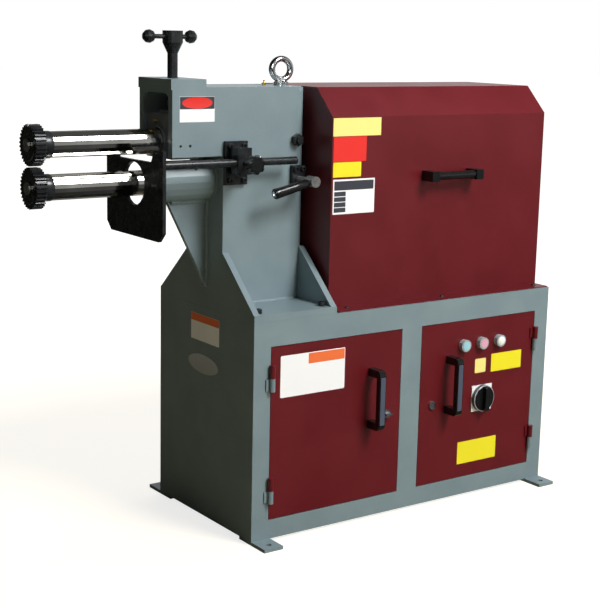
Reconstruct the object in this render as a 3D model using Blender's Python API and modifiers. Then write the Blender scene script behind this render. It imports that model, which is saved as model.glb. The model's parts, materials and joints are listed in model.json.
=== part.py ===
"""Motor-driven bead roller on a sheet-metal cabinet, built as separate named pieces.

Machine frame, in metres: X along the cabinet's front from its left side, Y from the centre line
towards the back, Z up from the floor. The root empty shifts that frame, so that the world origin
lies on the floor at the middle of the whole machine.
"""

import math

import bmesh
import bpy
from mathutils import Matrix, Vector

# Gaps and mesh fineness
FIT = 0.0003
RUNNING = 0.0002
OVERRUN = 0.004
MERGE = 0.00001
SIDES = 20
FEW_SIDES = 12
SCREW_HOLE_SIDES = 8
SHARP_ANGLE = math.radians(35)

# Cabinet
CABINET_LENGTH = 0.900
CABINET_DEPTH = 0.415
CABINET_HEIGHT = 0.505
CABINET_SHEET = 0.003
STILE_WIDTH = 0.045
DIVIDER_WIDTH = 0.060
SILL_HEIGHT = 0.045
HEADER_HEIGHT = 0.057
LIP_DEPTH = 0.018

# Foot plates
FOOT_WIDTH = 0.050
FOOT_LENGTH = 0.105
FOOT_THICKNESS = 0.008
FOOT_REACH = 0.055
FOOT_HOLE_RADIUS = 0.007
FOOT_HOLE_INSET = 0.022
FOOT_LET_IN = 0.001

# Doors and their hinges, handles and locks
DOOR_GAP = 0.0015
DOOR_SHEET = 0.002
DOOR_RETURN = 0.020
HINGE_RADIUS = 0.0065
HINGE_HALF_HEIGHT = 0.030
HINGE_INSET = 0.071
HINGE_LEAF_WIDTH = 0.014
HINGE_LEAF_THICKNESS = 0.003
HINGE_LEAF_INSET = 0.002
HINGE_PIN_RADIUS = 0.003
HINGE_PIN_LENGTH = 0.024
HANDLE_LENGTH = 0.144
HANDLE_WIDTH = 0.018
HANDLE_REACH = 0.045
HANDLE_BAR = 0.013
HANDLE_LEG = 0.018
HANDLE_ROUND = 0.012
HANDLE_INSET = 0.090
HANDLE_RISE = 0.0465
LOCK_INSET = 0.041
LOCK_FACE_RADIUS = 0.0105
LOCK_FACE_THICKNESS = 0.004
LOCK_BARREL_RADIUS = 0.008
WING_LENGTH = 0.017
WING_WIDTH = 0.005
WING_REACH = 0.009
CAM_LENGTH = 0.055
CAM_WIDTH = 0.018
CAM_THICKNESS = 0.003

# Controls on the right door, measured from the door opening's lower left corner
BUTTON_DROP = 0.062
FIRST_BUTTON_INSET = 0.135
BUTTON_PITCH = 0.058
BEZEL_RADIUS = 0.015
BEZEL_REACH = 0.013
BEZEL_BORE_RADIUS = 0.0115
BEZEL_NECK_RADIUS = 0.011
BEZEL_NECK_BORE_RADIUS = 0.008
BEZEL_NECK_LENGTH = 0.012
BEZEL_FLOOR = 0.0006
CAP_THICKNESS = 0.008
CAP_PROUD = 0.001
BUTTON_TRAVEL = 0.004
LENS_DOME = 0.003
DOME_SHARE = 0.75
CONTACT_WIDTH = 0.030
CONTACT_HEIGHT = 0.042
CONTACT_DEPTH = 0.045
ISOLATOR_INSET = 0.202
ISOLATOR_DROP = 0.204
ISOLATOR_PLATE_SIDE = 0.066
ISOLATOR_PLATE_THICKNESS = 0.0025
ISOLATOR_KNOB_RADIUS = 0.031
ISOLATOR_KNOB_DEPTH = 0.012
ISOLATOR_KNOB_TAPER = 0.003
ISOLATOR_GRIP_WIDTH = 0.013
ISOLATOR_GRIP_LENGTH = 0.058
ISOLATOR_GRIP_DEPTH = 0.011
ISOLATOR_SHAFT_RADIUS = 0.006
ISOLATOR_BODY_SIDE = 0.050
ISOLATOR_BODY_DEPTH = 0.048

# Electrics in the right compartment
PANEL_WIDTH = 0.300
PANEL_HEIGHT = 0.320
PANEL_SHEET = 0.002
PANEL_STANDOFF = 0.015
PANEL_POST_RADIUS = 0.006
PANEL_POST_INSET = 0.020
CONTACTOR_WIDTH = 0.060
CONTACTOR_HEIGHT = 0.085
CONTACTOR_DEPTH = 0.080
CONTACTOR_STEP = 0.022
TRANSFORMER_WIDTH = 0.090
TRANSFORMER_HEIGHT = 0.075
TRANSFORMER_DEPTH = 0.070
TRANSFORMER_COIL_WIDTH = 0.046
TRANSFORMER_COIL_BULGE = 0.014

# Head, column and base plate
PLATE = 0.015
BASE_THICKNESS = 0.016
COLUMN_LENGTH = 0.224
COLUMN_HEIGHT = 0.505
COLUMN_CORNER_RADIUS = 0.025
ROUND_SHARE = 0.5
HEAD_OVERHANG = 0.130
HEAD_DEPTH = 0.146
HEAD_HEIGHT = 0.151
HEAD_ROOF = 0.012
END_PLATE = 0.008
END_PLATE_RIM = 0.002
WINDOW_CORNER_RADIUS = 0.016
LEFT_PLATE_DROP = 0.155
FLARE_HEIGHT = 0.137
FLARE_INSET = 0.002
PAD_LEFT_REACH = 0.003
PAD_LENGTH = 0.088
PAD_THICKNESS = 0.017
GUSSET_REACH = 0.103
GUSSET_FOOT = 0.0324
GUSSET_THICKNESS = 0.012
BASE_BOLT_INSET = 0.025
BASE_BOLT_RADIUS = 0.006
SIGHT_HOLE_RADIUS = 0.00325
SIGHT_HOLE_HEIGHT = 0.0065
SIGHT_HOLE_PLACES = (-0.109, -0.085)

# Shafts and dies
LOWER_AXIS_DROP = 0.210
SHAFT_CENTRES = 0.090
SHAFT_RADIUS = 0.028
JOURNAL_RADIUS = 0.024
TAIL_RADIUS = 0.020
SPIGOT_RADIUS = 0.011
NOSE_REACH = 0.254
SHOULDER_GAP = 0.004
DIE_HUB_LENGTH = 0.032
DIE_HUB_RADIUS = 0.029
DIE_RIM_WIDTH = 0.016
DIE_RIM_RADIUS = 0.044
DIE_TOOTH_DEPTH = 0.005
DIE_TEETH = 36
DIE_SCREW_RADIUS = 0.0135
DIE_SCREW_HEAD = 0.004
DIE_SCREW_SHANK_RADIUS = 0.005
DIE_SCREW_SHANK_LENGTH = 0.020
DIE_SCREW_SLOT_WIDTH = 0.004
DIE_SCREW_SLOT_DEPTH = 0.002

# Gears that join the shafts
GEAR_TEETH = 18
GEAR_PLACE = 0.150
GEAR_WIDTH = 0.030
GEAR_BACKLASH = 0.0006
PRESSURE_ANGLE = math.radians(20)
DEDENDUM_SHARE = 1.25

# Lower shaft housing
HOUSING_RADIUS = 0.046
HOUSING_SPIGOT_RADIUS = 0.040
BUSH_RADIUS = 0.034
FRONT_BUSH_LENGTH = 0.050
MIDDLE_BUSH_LENGTH = 0.040
REAR_BUSH_RADIUS = 0.026

# Upper bearing block, swivel bush and rear trunnion
BLOCK_PLACE = 0.088
BLOCK_LENGTH = 0.066
BLOCK_ABOVE_AXIS = 0.060
BLOCK_BELOW_AXIS = 0.0365
BLOCK_BORE_RADIUS = 0.0305
BOSS_RADIUS = 0.0355
BOSS_LENGTH = 0.006
BALL_RADIUS = 0.034
BALL_CLEARANCE = 0.0009
BALL_HALF_LENGTH = 0.020
PIVOT_PLACE = 0.195
TRUNNION_HALF_LENGTH = 0.0115
TRUNNION_HALF_HEIGHT = 0.030
TRUNNION_BUSH_RADIUS = 0.0237
STUD_RADIUS = 0.008
STUD_DEPTH = 0.012
STUD_END = 0.006
NUT_FLATS = 0.025
NUT_THICKNESS = 0.012

# Adjusting screw and tommy bar
SCREW_RADIUS = 0.0115
SCREW_COLLAR = 0.0155
SCREW_NECK_RADIUS = 0.008
SCREW_ABOVE_PAD = 0.053
SCREW_CONE = 0.023
SCREW_HUB_HEIGHT = 0.026
SCREW_HUB_RADIUS = 0.0225
RETAINER_SIDE = 0.044
RETAINER_THICKNESS = 0.006
TOMMY_RADIUS = 0.005
TOMMY_BALL_RADIUS = 0.0148
TOMMY_CENTRES = 0.104
TOMMY_OFFSET = -0.007

# Eye bolt
EYE_PLACE = 0.200
EYE_RING_RADIUS = 0.021
EYE_WIRE_RADIUS = 0.006
EYE_COLLAR_RADIUS = 0.015
EYE_COLLAR_HEIGHT = 0.006
EYE_SHANK_RADIUS = 0.006
EYE_LET_IN = 0.0012

# Gauge, its clamp bracket and star knob
GAUGE_PLACE = 0.176
GAUGE_THICKNESS = 0.008
GAUGE_HALF_WIDTH = 0.128
GAUGE_BELOW_AXIS = 0.116
GAUGE_EAR_HEIGHT = 0.079
GAUGE_EAR_WIDTH = 0.039
GAUGE_NOTCH_SLANT = 0.013
GAUGE_NOTCH_HEIGHT = 0.052
GAUGE_CHAMFER = 0.020
GAUGE_HOLE_RADIUS = 0.0475
ROD_RADIUS = 0.00875
ROD_SPIGOT_RADIUS = 0.006
ROD_OUT = 0.0375
ROD_ABOVE_AXIS = 0.047
ROD_END = 0.170
CLAMP_PLATE_LENGTH = 0.057
CLAMP_PLATE_BELOW = 0.005
CLAMP_PLATE_ABOVE = 0.092
CLAMP_PLATE_THICKNESS = 0.010
CLAMP_BLOCK_PLACE = 0.0255
CLAMP_BLOCK_LENGTH = 0.035
CLAMP_BLOCK_BELOW = 0.021
CLAMP_BLOCK_ABOVE = 0.080
CLAMP_BLOCK_OUT = 0.049
CLAMP_SCREW_INSET = 0.0105
STAR_RADIUS = 0.020
STAR_LOBES = 7
STAR_LOBE_SHARE = 0.09
STAR_THICKNESS = 0.016
STAR_OUT = 0.091
STAR_STEM_RADIUS = 0.005
BRACKET_SCREW_RADIUS = 0.004
BRACKET_SCREW_GRIP = 0.020

# Lever that lines up the dies, with its eccentric and shift ring
LEVER_PLACE = 0.198
LEVER_BRACKET_LENGTH = 0.035
LEVER_BRACKET_BELOW = 0.014
LEVER_BRACKET_ABOVE = 0.032
LEVER_SCREW_INSET = 0.008
LEVER_SPINDLE_RADIUS = 0.008
LEVER_HUB_RADIUS = 0.0125
LEVER_HUB_LENGTH = 0.028
LEVER_OUT = 0.078
LEVER_DROP_ANGLE = math.radians(13)
GRIP_START = 0.014
GRIP_END = 0.106
GRIP_RADIUS = 0.011
GRIP_TAPER_SHARE = 0.82
GRIP_STEM_RADIUS = 0.005
GRIP_STEM_START = 0.006
ECCENTRIC_OFFSET = 0.0025
ECCENTRIC_PIN_RADIUS = 0.0025
ECCENTRIC_PIN_LENGTH = 0.007
RING_RADIUS = 0.032
RING_WIDTH = 0.010
RING_SLOT_DEPTH = 0.008
RING_SLOT_HALF_HEIGHT = 0.008
COLLAR_RADIUS = 0.027
COLLAR_WIDTH = 0.003

# Gear cover and its handle
COVER_PLACE = 0.236
COVER_SHEET = 0.002
COVER_FRONT = 0.050
COVER_BACK = 0.343
COVER_HEIGHT = 0.5045
COVER_SLOPE = 0.0645
COVER_FLANGE = 0.045
COVER_HOLE_RADIUS = 0.045
COVER_HANDLE_PLACE = 0.504
COVER_HANDLE_LENGTH = 0.161
COVER_HANDLE_HEIGHT = 0.298
COVER_HANDLE_REACH = 0.040
COVER_HANDLE_LEG_LENGTH = 0.022
COVER_HANDLE_LEG_HEIGHT = 0.024
COVER_HANDLE_GRIP_RADIUS = 0.010

# Drive under the cover
DRIVEN_HUB_LENGTH = 0.040
DRIVEN_HUB_END = 0.284
COUPLING_RADIUS = 0.030
COUPLING_BORE_SHARE = 0.45
JAW_LENGTH = 0.012
JAW_ANGLE = math.radians(44)
JAW_COUNT = 3
COUPLING_GAP = 0.0163
SPIDER_THICKNESS = 0.009
SPIDER_SETBACK = 0.004
SPIDER_LEG_ANGLE = math.radians(6)
SPIDER_CORE_SHARE = 0.4
DRIVE_HUB_LENGTH = 0.040
DRIVE_SHAFT_RADIUS = 0.015
DRIVE_SHAFT_LENGTH = 0.045
REDUCER_GAP = 0.010
REDUCER_NOSE_RADIUS = 0.055
REDUCER_NOSE_LENGTH = 0.030
REDUCER_RADIUS = 0.085
REDUCER_LENGTH = 0.160
REDUCER_FOOT_HALF_WIDTH = 0.090
REDUCER_FOOT_DROP = 0.105
REDUCER_FOOT_THICKNESS = 0.040
MOTOR_RADIUS = 0.078
MOTOR_LENGTH = 0.260
MOTOR_COWL_LENGTH = 0.060
MOTOR_COWL_STEP = 0.005
TERMINAL_BOX_SIDE = 0.090
TERMINAL_BOX_RISE = 0.035
STAND_SHEET = 0.010
STAND_FOOT = 0.040

# Levels and places worked out from the sizes above
FRONT = -CABINET_DEPTH / 2
BACK = CABINET_DEPTH / 2
CABINET_BOTTOM = FOOT_THICKNESS - FOOT_LET_IN
CABINET_TOP = CABINET_BOTTOM + CABINET_HEIGHT
DOOR_WIDTH = (CABINET_LENGTH - STILE_WIDTH * 2 - DIVIDER_WIDTH) / 2
DOOR_BOTTOM = CABINET_BOTTOM + SILL_HEIGHT
DOOR_TOP = CABINET_TOP - HEADER_HEIGHT
LEFT_OPENING = STILE_WIDTH
RIGHT_OPENING = STILE_WIDTH + DOOR_WIDTH + DIVIDER_WIDTH
HINGE_AXIS_Y = FRONT - FIT - HINGE_RADIUS
LEFT_HINGE_X = LEFT_OPENING + DOOR_GAP / 2
RIGHT_HINGE_X = RIGHT_OPENING + DOOR_WIDTH - DOOR_GAP / 2
BASE_BOTTOM = CABINET_TOP + FIT
BASE_TOP = BASE_BOTTOM + BASE_THICKNESS
COLUMN_TOP = CABINET_TOP + COLUMN_HEIGHT
PAD_TOP = COLUMN_TOP + PAD_THICKNESS
HEAD_BOTTOM = COLUMN_TOP - HEAD_HEIGHT
HALF_DEPTH = HEAD_DEPTH / 2
INNER_HALF = HALF_DEPTH - PLATE
LOWER_AXIS = COLUMN_TOP - LOWER_AXIS_DROP
UPPER_AXIS = LOWER_AXIS + SHAFT_CENTRES
NOSE_X = -HEAD_OVERHANG - NOSE_REACH
LEFT_END = NOSE_X - DIE_HUB_LENGTH - DIE_RIM_WIDTH - DIE_SCREW_HEAD - FIT
MIDDLE_X = (CABINET_LENGTH + LEFT_END) / 2
REAR_WALL_X = COLUMN_LENGTH - PLATE
BLOCK_X = -BLOCK_PLACE
BLOCK_TOP = UPPER_AXIS + BLOCK_ABOVE_AXIS
BLOCK_HALF = INNER_HALF - FIT
ROD_Y = -HALF_DEPTH - ROD_OUT
ROD_Z = LOWER_AXIS + ROD_ABOVE_AXIS
COVER_FRONT_Y = FRONT + COVER_FRONT
COVER_BACK_Y = FRONT + COVER_BACK
COVER_BOTTOM = CABINET_TOP + FIT
COVER_TOP = CABINET_TOP + COVER_HEIGHT
BUTTON_X = tuple(RIGHT_OPENING + FIRST_BUTTON_INSET + BUTTON_PITCH * n for n in range(3))
BUTTON_Z = DOOR_TOP - BUTTON_DROP
ISOLATOR_X = RIGHT_OPENING + ISOLATOR_INSET
ISOLATOR_Z = DOOR_TOP - ISOLATOR_DROP
LOCK_Z = (DOOR_BOTTOM + DOOR_TOP) / 2
LEFT_LOCK_X = LEFT_OPENING + DOOR_WIDTH - LOCK_INSET
RIGHT_LOCK_X = RIGHT_OPENING + LOCK_INSET
DRIVE_HUB_X = DRIVEN_HUB_END + COUPLING_GAP
REDUCER_X = DRIVE_HUB_X + DRIVE_HUB_LENGTH + REDUCER_GAP
MOTOR_X = REDUCER_X + REDUCER_NOSE_LENGTH + REDUCER_LENGTH + FIT
STAND_TOP = LOWER_AXIS - REDUCER_FOOT_DROP - FIT

# Finishes: colour, roughness, metallic
FINISHES = {
    "grey_green_paint": ((0.235, 0.290, 0.285), 0.42, 0.0),
    "maroon_paint": ((0.150, 0.012, 0.016), 0.38, 0.0),
    "black_steel": ((0.012, 0.012, 0.013), 0.40, 0.3),
    "black_plastic": ((0.010, 0.010, 0.012), 0.45, 0.0),
    "bright_steel": ((0.62, 0.61, 0.58), 0.28, 1.0),
    "bronze": ((0.45, 0.27, 0.10), 0.35, 1.0),
    "chrome": ((0.80, 0.80, 0.80), 0.12, 1.0),
    "cast_iron": ((0.11, 0.12, 0.12), 0.60, 0.4),
    "pale_green_plastic": ((0.45, 0.72, 0.66), 0.30, 0.0),
    "pale_red_plastic": ((0.62, 0.28, 0.30), 0.30, 0.0),
    "white_lens": ((0.80, 0.80, 0.76), 0.20, 0.0),
    "grey_plastic": ((0.40, 0.42, 0.44), 0.50, 0.0),
    "orange_elastomer": ((0.55, 0.14, 0.02), 0.70, 0.0),
    "motor_blue_grey": ((0.08, 0.12, 0.15), 0.45, 0.0),
}

# Turns that carry a shape's own Z onto a direction, and a flat outline's own plane onto two axes
TURNS = {
    "X": Matrix.Rotation(math.pi / 2, 4, "Y"),
    "-X": Matrix.Rotation(-math.pi / 2, 4, "Y"),
    "Y": Matrix.Rotation(-math.pi / 2, 4, "X"),
    "-Y": Matrix.Rotation(math.pi / 2, 4, "X"),
    "Z": Matrix.Identity(4),
    "-Z": Matrix.Rotation(math.pi, 4, "X"),
}
PLANES = {
    "XY": (Matrix.Identity(4), Vector((0, 0, 1))),
    "XZ": (TURNS["-Y"], Vector((0, 1, 0))),
    "YZ": (Matrix(((0, 0, 1, 0), (1, 0, 0, 0), (0, 1, 0, 0), (0, 0, 0, 1))), Vector((1, 0, 0))),
}


def clear_scene():
    for obj in list(bpy.data.objects):
        bpy.data.objects.remove(obj, do_unlink=True)
    for collection in list(bpy.data.collections):
        bpy.data.collections.remove(collection)


def new_collection(name):
    collection = bpy.data.collections.new(name)
    bpy.context.scene.collection.children.link(collection)
    return collection


clear_scene()
PARTS = new_collection("bead_roller")
CUTTERS = new_collection("cutters")
CARRIER_PLACES = {}


def carrier(name, place=(0, 0, 0), parent=None):
    """An empty at a place in the machine frame, such as a point on a joint's axis."""
    empty = bpy.data.objects.new(name, None)
    PARTS.objects.link(empty)
    CARRIER_PLACES[name] = Vector(place)
    if parent is None:
        empty.location = (-MIDDLE_X, 0, 0)
    else:
        empty.parent = parent
        empty.location = CARRIER_PLACES[name] - CARRIER_PLACES[parent.name]
    return empty


def finish_material(name):
    found = bpy.data.materials.get(name)
    if found:
        return found
    colour, roughness, metallic = FINISHES[name]
    made = bpy.data.materials.new(name)
    made.use_nodes = True
    shader = made.node_tree.nodes["Principled BSDF"]
    shader.inputs["Base Color"].default_value = (*colour, 1.0)
    shader.inputs["Roughness"].default_value = roughness
    shader.inputs["Metallic"].default_value = metallic
    made.diffuse_color = (*colour, 1.0)
    return made


def piece(obj, name, finish, parent):
    """Names a finished shape, gives it its material and hangs it on its carrier."""
    obj.name = name
    obj.data.name = name
    obj.data.materials.clear()
    obj.data.materials.append(finish_material(finish))
    obj.parent = parent
    obj.matrix_parent_inverse = Matrix.Translation(-CARRIER_PLACES[parent.name])
    if obj.data.polygons:
        obj.data.shade_smooth()
        obj.data.set_sharp_from_angle(angle=SHARP_ANGLE)
    return obj


def mesh_object(name, bm):
    mesh = bpy.data.meshes.new(name)
    bm.to_mesh(mesh)
    bm.free()
    obj = bpy.data.objects.new(name, mesh)
    PARTS.objects.link(obj)
    return obj


def box(low, high, name="box"):
    bm = bmesh.new()
    size = Vector(high) - Vector(low)
    middle = (Vector(high) + Vector(low)) / 2
    bmesh.ops.create_cube(bm, size=1.0, matrix=Matrix.LocRotScale(middle, None, size))
    return mesh_object(name, bm)


def rods(axis, radius, length, starts, sides=SIDES, name="rods"):
    """Rods of one radius and length, each leaving its start along the axis."""
    bm = bmesh.new()
    for start in starts:
        place = Matrix.Translation(start) @ TURNS[axis] @ Matrix.Translation((0, 0, length / 2))
        bmesh.ops.create_cone(
            bm, cap_ends=True, segments=sides, radius1=radius, radius2=radius, depth=length, matrix=place
        )
    return mesh_object(name, bm)


def roomy(radius, sides=SIDES):
    """Corner radius of a faceted bore whose flats still clear the radius."""
    return radius / math.cos(math.pi / sides)


def bores(axis, radius, length, starts, sides=SIDES):
    """Cutting rods for holes that clear a rod of the radius by the fit."""
    return rods(axis, roomy(radius + FIT, sides), length, starts, sides)


def turned(axis, start, profile, closed=False, sides=SIDES, name="turned", turn=None):
    """Turns (radius, distance) points about an axis from start, listed down the outer side from the far end."""
    count = len(profile)
    edges = [(index, index + 1) for index in range(count - 1)]
    if closed:
        edges.append((count - 1, 0))
    mesh = bpy.data.meshes.new(name)
    mesh.from_pydata([(radius, 0, distance) for radius, distance in profile], edges, [])
    obj = bpy.data.objects.new(name, mesh)
    PARTS.objects.link(obj)
    obj.matrix_basis = Matrix.Translation(start) @ (turn or TURNS[axis])
    screw = obj.modifiers.new("turn", "SCREW")
    screw.steps = sides
    screw.render_steps = sides
    screw.use_merge_vertices = True
    screw.merge_threshold = MERGE
    screw.use_smooth_shade = True
    return obj


def ring_profile(outer, inner, near, far):
    return [(outer, far), (outer, near), (inner, near), (inner, far)]


def arc(centre, radius, first, last, count):
    """Points on an arc, with angles in radians and count steps."""
    angles = [first + (last - first) * step / count for step in range(count + 1)]
    return [(centre[0] + radius * math.cos(a), centre[1] + radius * math.sin(a)) for a in angles]


def circle(centre, radius, sides=SIDES):
    return arc(centre, radius, 0, math.tau, sides)[:-1]


def hole_loop(centre, radius, sides=SIDES):
    """Loop for a hole that clears a rod of the radius by the fit."""
    return circle(centre, roomy(radius + FIT, sides), sides)


def rectangle(low, high):
    return [(low[0], low[1]), (high[0], low[1]), (high[0], high[1]), (low[0], high[1])]


def plate(plane, near, far, *outlines, name="plate"):
    """Flat outlines in a plane as a solid from near to far along its normal; a loop inside another is a hole."""
    turn, normal = PLANES[plane]
    curve = bpy.data.curves.new(name, "CURVE")
    curve.dimensions = "2D"
    curve.fill_mode = "BOTH"
    curve.extrude = (far - near) / 2
    for outline in outlines:
        spline = curve.splines.new("POLY")
        spline.points.add(len(outline) - 1)
        for point, (across, up) in zip(spline.points, outline):
            point.co = (across, up, 0, 1)
        spline.use_cyclic_u = True
    flat = bpy.data.objects.new(name, curve)
    PARTS.objects.link(flat)
    flat.matrix_basis = Matrix.Translation(normal * (near + far) / 2) @ turn
    bpy.context.view_layer.update()
    seen = flat.evaluated_get(bpy.context.evaluated_depsgraph_get())
    bm = bmesh.new()
    bm.from_mesh(bpy.data.meshes.new_from_object(seen))
    bmesh.ops.remove_doubles(bm, verts=bm.verts, dist=MERGE)
    bmesh.ops.dissolve_limit(bm, angle_limit=MERGE, verts=bm.verts, edges=bm.edges)
    bmesh.ops.recalc_face_normals(bm, faces=bm.faces)
    obj = mesh_object(name, bm)
    obj.matrix_basis = flat.matrix_world
    bpy.data.objects.remove(flat, do_unlink=True)
    return obj


def combine(obj, tool, operation):
    """Cuts or joins a shape by another, which becomes a hidden tool."""
    for collection in list(tool.users_collection):
        collection.objects.unlink(tool)
    CUTTERS.objects.link(tool)
    tool.hide_render = True
    tool.display_type = "WIRE"
    tool.name = obj.name + "_tool"
    modifier = obj.modifiers.new(operation.lower(), "BOOLEAN")
    modifier.operation = operation
    modifier.solver = "EXACT"
    modifier.object = tool
    tool.parent = ROOT
    return obj


def cut(obj, *tools):
    for tool in tools:
        combine(obj, tool, "DIFFERENCE")
    return obj


def join(obj, *tools):
    for tool in tools:
        combine(obj, tool, "UNION")
    return obj


# Carriers: the root, and one empty on the axis of each moving body

ROOT = carrier("bead_roller_root")
LEFT_DOOR_AXIS = carrier("left_door_axis", (LEFT_HINGE_X, HINGE_AXIS_Y, DOOR_BOTTOM), ROOT)
RIGHT_DOOR_AXIS = carrier("right_door_axis", (RIGHT_HINGE_X, HINGE_AXIS_Y, DOOR_BOTTOM), ROOT)
LEFT_LOCK_AXIS = carrier("left_lock_axis", (LEFT_LOCK_X, FRONT, LOCK_Z), LEFT_DOOR_AXIS)
RIGHT_LOCK_AXIS = carrier("right_lock_axis", (RIGHT_LOCK_X, FRONT, LOCK_Z), RIGHT_DOOR_AXIS)
START_AXIS = carrier("start_axis", (BUTTON_X[0], FRONT, BUTTON_Z), RIGHT_DOOR_AXIS)
STOP_AXIS = carrier("stop_axis", (BUTTON_X[1], FRONT, BUTTON_Z), RIGHT_DOOR_AXIS)
ISOLATOR_AXIS = carrier("isolator_axis", (ISOLATOR_X, FRONT, ISOLATOR_Z), RIGHT_DOOR_AXIS)
BLOCK_AXIS = carrier("block_axis", (BLOCK_X, 0, UPPER_AXIS), ROOT)
SCREW_AXIS = carrier("screw_axis", (BLOCK_X, 0, BLOCK_TOP), BLOCK_AXIS)
TOMMY_Z = PAD_TOP + SCREW_ABOVE_PAD + SCREW_CONE + SCREW_HUB_HEIGHT / 2
TOMMY_AXIS = carrier("tommy_axis", (BLOCK_X, 0, TOMMY_Z), SCREW_AXIS)
TILT_AXIS = carrier("tilt_axis", (PIVOT_PLACE, 0, UPPER_AXIS), ROOT)
UPPER_SPIN = carrier("upper_spin_axis", (PIVOT_PLACE, 0, UPPER_AXIS), TILT_AXIS)
SHIFT_AXIS = carrier("shift_axis", (LEVER_PLACE, 0, LOWER_AXIS), ROOT)
LOWER_SPIN = carrier("lower_spin_axis", (LEVER_PLACE, 0, LOWER_AXIS), SHIFT_AXIS)
DRIVE_AXIS = carrier("drive_axis", (DRIVE_HUB_X, 0, LOWER_AXIS), ROOT)
GAUGE_AXIS = carrier("gauge_axis", (-GAUGE_PLACE, ROD_Y, ROD_Z), ROOT)
STAR_AXIS = carrier("star_axis", (CLAMP_BLOCK_PLACE, ROD_Y, ROD_Z), ROOT)
LEVER_AXIS = carrier("lever_axis", (LEVER_PLACE, -HALF_DEPTH, LOWER_AXIS), ROOT)

OPENINGS = (LEFT_OPENING, RIGHT_OPENING)


def base_bolt_places():
    across = (BASE_BOLT_INSET, COLUMN_LENGTH - BASE_BOLT_INSET)
    return [(x, side * (BACK - BASE_BOLT_INSET), BASE_TOP + FIT) for x in across for side in (-1, 1)]


def make_cabinet():
    shell = box((0, FRONT, CABINET_BOTTOM), (CABINET_LENGTH, BACK, CABINET_TOP))
    middle = CABINET_LENGTH / 2
    half_sheet = CABINET_SHEET / 2
    spans = ((CABINET_SHEET, middle - half_sheet), (middle + half_sheet, CABINET_LENGTH - CABINET_SHEET))
    floor = CABINET_BOTTOM + CABINET_SHEET
    ceiling = CABINET_TOP - CABINET_SHEET
    for left, right in spans:
        cut(shell, box((left, FRONT + CABINET_SHEET, floor), (right, BACK - CABINET_SHEET, ceiling)))
    for left in OPENINGS:
        outer_low = (left - CABINET_SHEET, FRONT + half_sheet, DOOR_BOTTOM - CABINET_SHEET)
        outer_high = (left + DOOR_WIDTH + CABINET_SHEET, FRONT + LIP_DEPTH, DOOR_TOP + CABINET_SHEET)
        join(shell, box(outer_low, outer_high))
    for left in OPENINGS:
        hole_high = (left + DOOR_WIDTH, FRONT + LIP_DEPTH + OVERRUN, DOOR_TOP)
        cut(shell, box((left, FRONT - OVERRUN, DOOR_BOTTOM), hole_high))
    depth = BASE_THICKNESS + CABINET_SHEET + OVERRUN * 2
    cut(shell, bores("-Z", BASE_BOLT_RADIUS, depth, base_bolt_places(), FEW_SIDES))
    join(shell, *foot_plates())
    join(shell, *frame_barrels(LEFT_HINGE_X, -1), *frame_barrels(RIGHT_HINGE_X, 1))
    piece(shell, "cabinet", "grey_green_paint", ROOT)


def foot_plates():
    """Four bored plates welded under the cabinet's corners."""
    plates = []
    for left in (0, CABINET_LENGTH - FOOT_WIDTH):
        for side in (-1, 1):
            outer = side * (BACK + FOOT_REACH)
            low, high = sorted((outer, outer - side * FOOT_LENGTH))
            hole = circle((left + FOOT_WIDTH / 2, outer - side * FOOT_HOLE_INSET), FOOT_HOLE_RADIUS, FEW_SIDES)
            outline = rectangle((left, low), (left + FOOT_WIDTH, high))
            plates.append(plate("XY", 0, FOOT_THICKNESS, outline, hole))
    return plates


def door_pan(left):
    low = (left + DOOR_GAP, FRONT, DOOR_BOTTOM + DOOR_GAP)
    high = (left + DOOR_WIDTH - DOOR_GAP, FRONT + DOOR_RETURN, DOOR_TOP - DOOR_GAP)
    pan = box(low, high)
    inner_low = (low[0] + DOOR_SHEET, FRONT + DOOR_SHEET, low[2] + DOOR_SHEET)
    inner_high = (high[0] - DOOR_SHEET, high[1] + OVERRUN, high[2] - DOOR_SHEET)
    return cut(pan, box(inner_low, inner_high))


def door_hole(x, z, radius):
    start = (x, FRONT - OVERRUN, z)
    return bores("Y", radius, DOOR_SHEET + OVERRUN * 2, [start], FEW_SIDES)


def make_left_door():
    pan = cut(door_pan(LEFT_OPENING), door_hole(LEFT_LOCK_X, LOCK_Z, LOCK_BARREL_RADIUS))
    join(pan, *door_barrels(LEFT_HINGE_X, 1))
    piece(pan, "left_door", "maroon_paint", LEFT_DOOR_AXIS)


def make_right_door():
    pan = cut(door_pan(RIGHT_OPENING), door_hole(RIGHT_LOCK_X, LOCK_Z, LOCK_BARREL_RADIUS))
    for x in BUTTON_X:
        cut(pan, door_hole(x, BUTTON_Z, BEZEL_NECK_RADIUS))
    cut(pan, door_hole(ISOLATOR_X, ISOLATOR_Z, ISOLATOR_SHAFT_RADIUS))
    join(pan, *door_barrels(RIGHT_HINGE_X, -1))
    piece(pan, "right_door", "maroon_paint", RIGHT_DOOR_AXIS)


def hinge_splits():
    return (DOOR_BOTTOM + HINGE_INSET, DOOR_TOP - HINGE_INSET)


def hinge_leaf(axis_x, side, low, high):
    inner = (HINGE_PIN_RADIUS + HINGE_RADIUS) / 2
    near_x, far_x = sorted((axis_x + side * inner, axis_x + side * HINGE_LEAF_WIDTH))
    front = FRONT - FIT - HINGE_LEAF_THICKNESS
    return box((near_x, front, low + HINGE_LEAF_INSET), (far_x, FRONT + DOOR_SHEET / 2, high - HINGE_LEAF_INSET))


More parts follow.
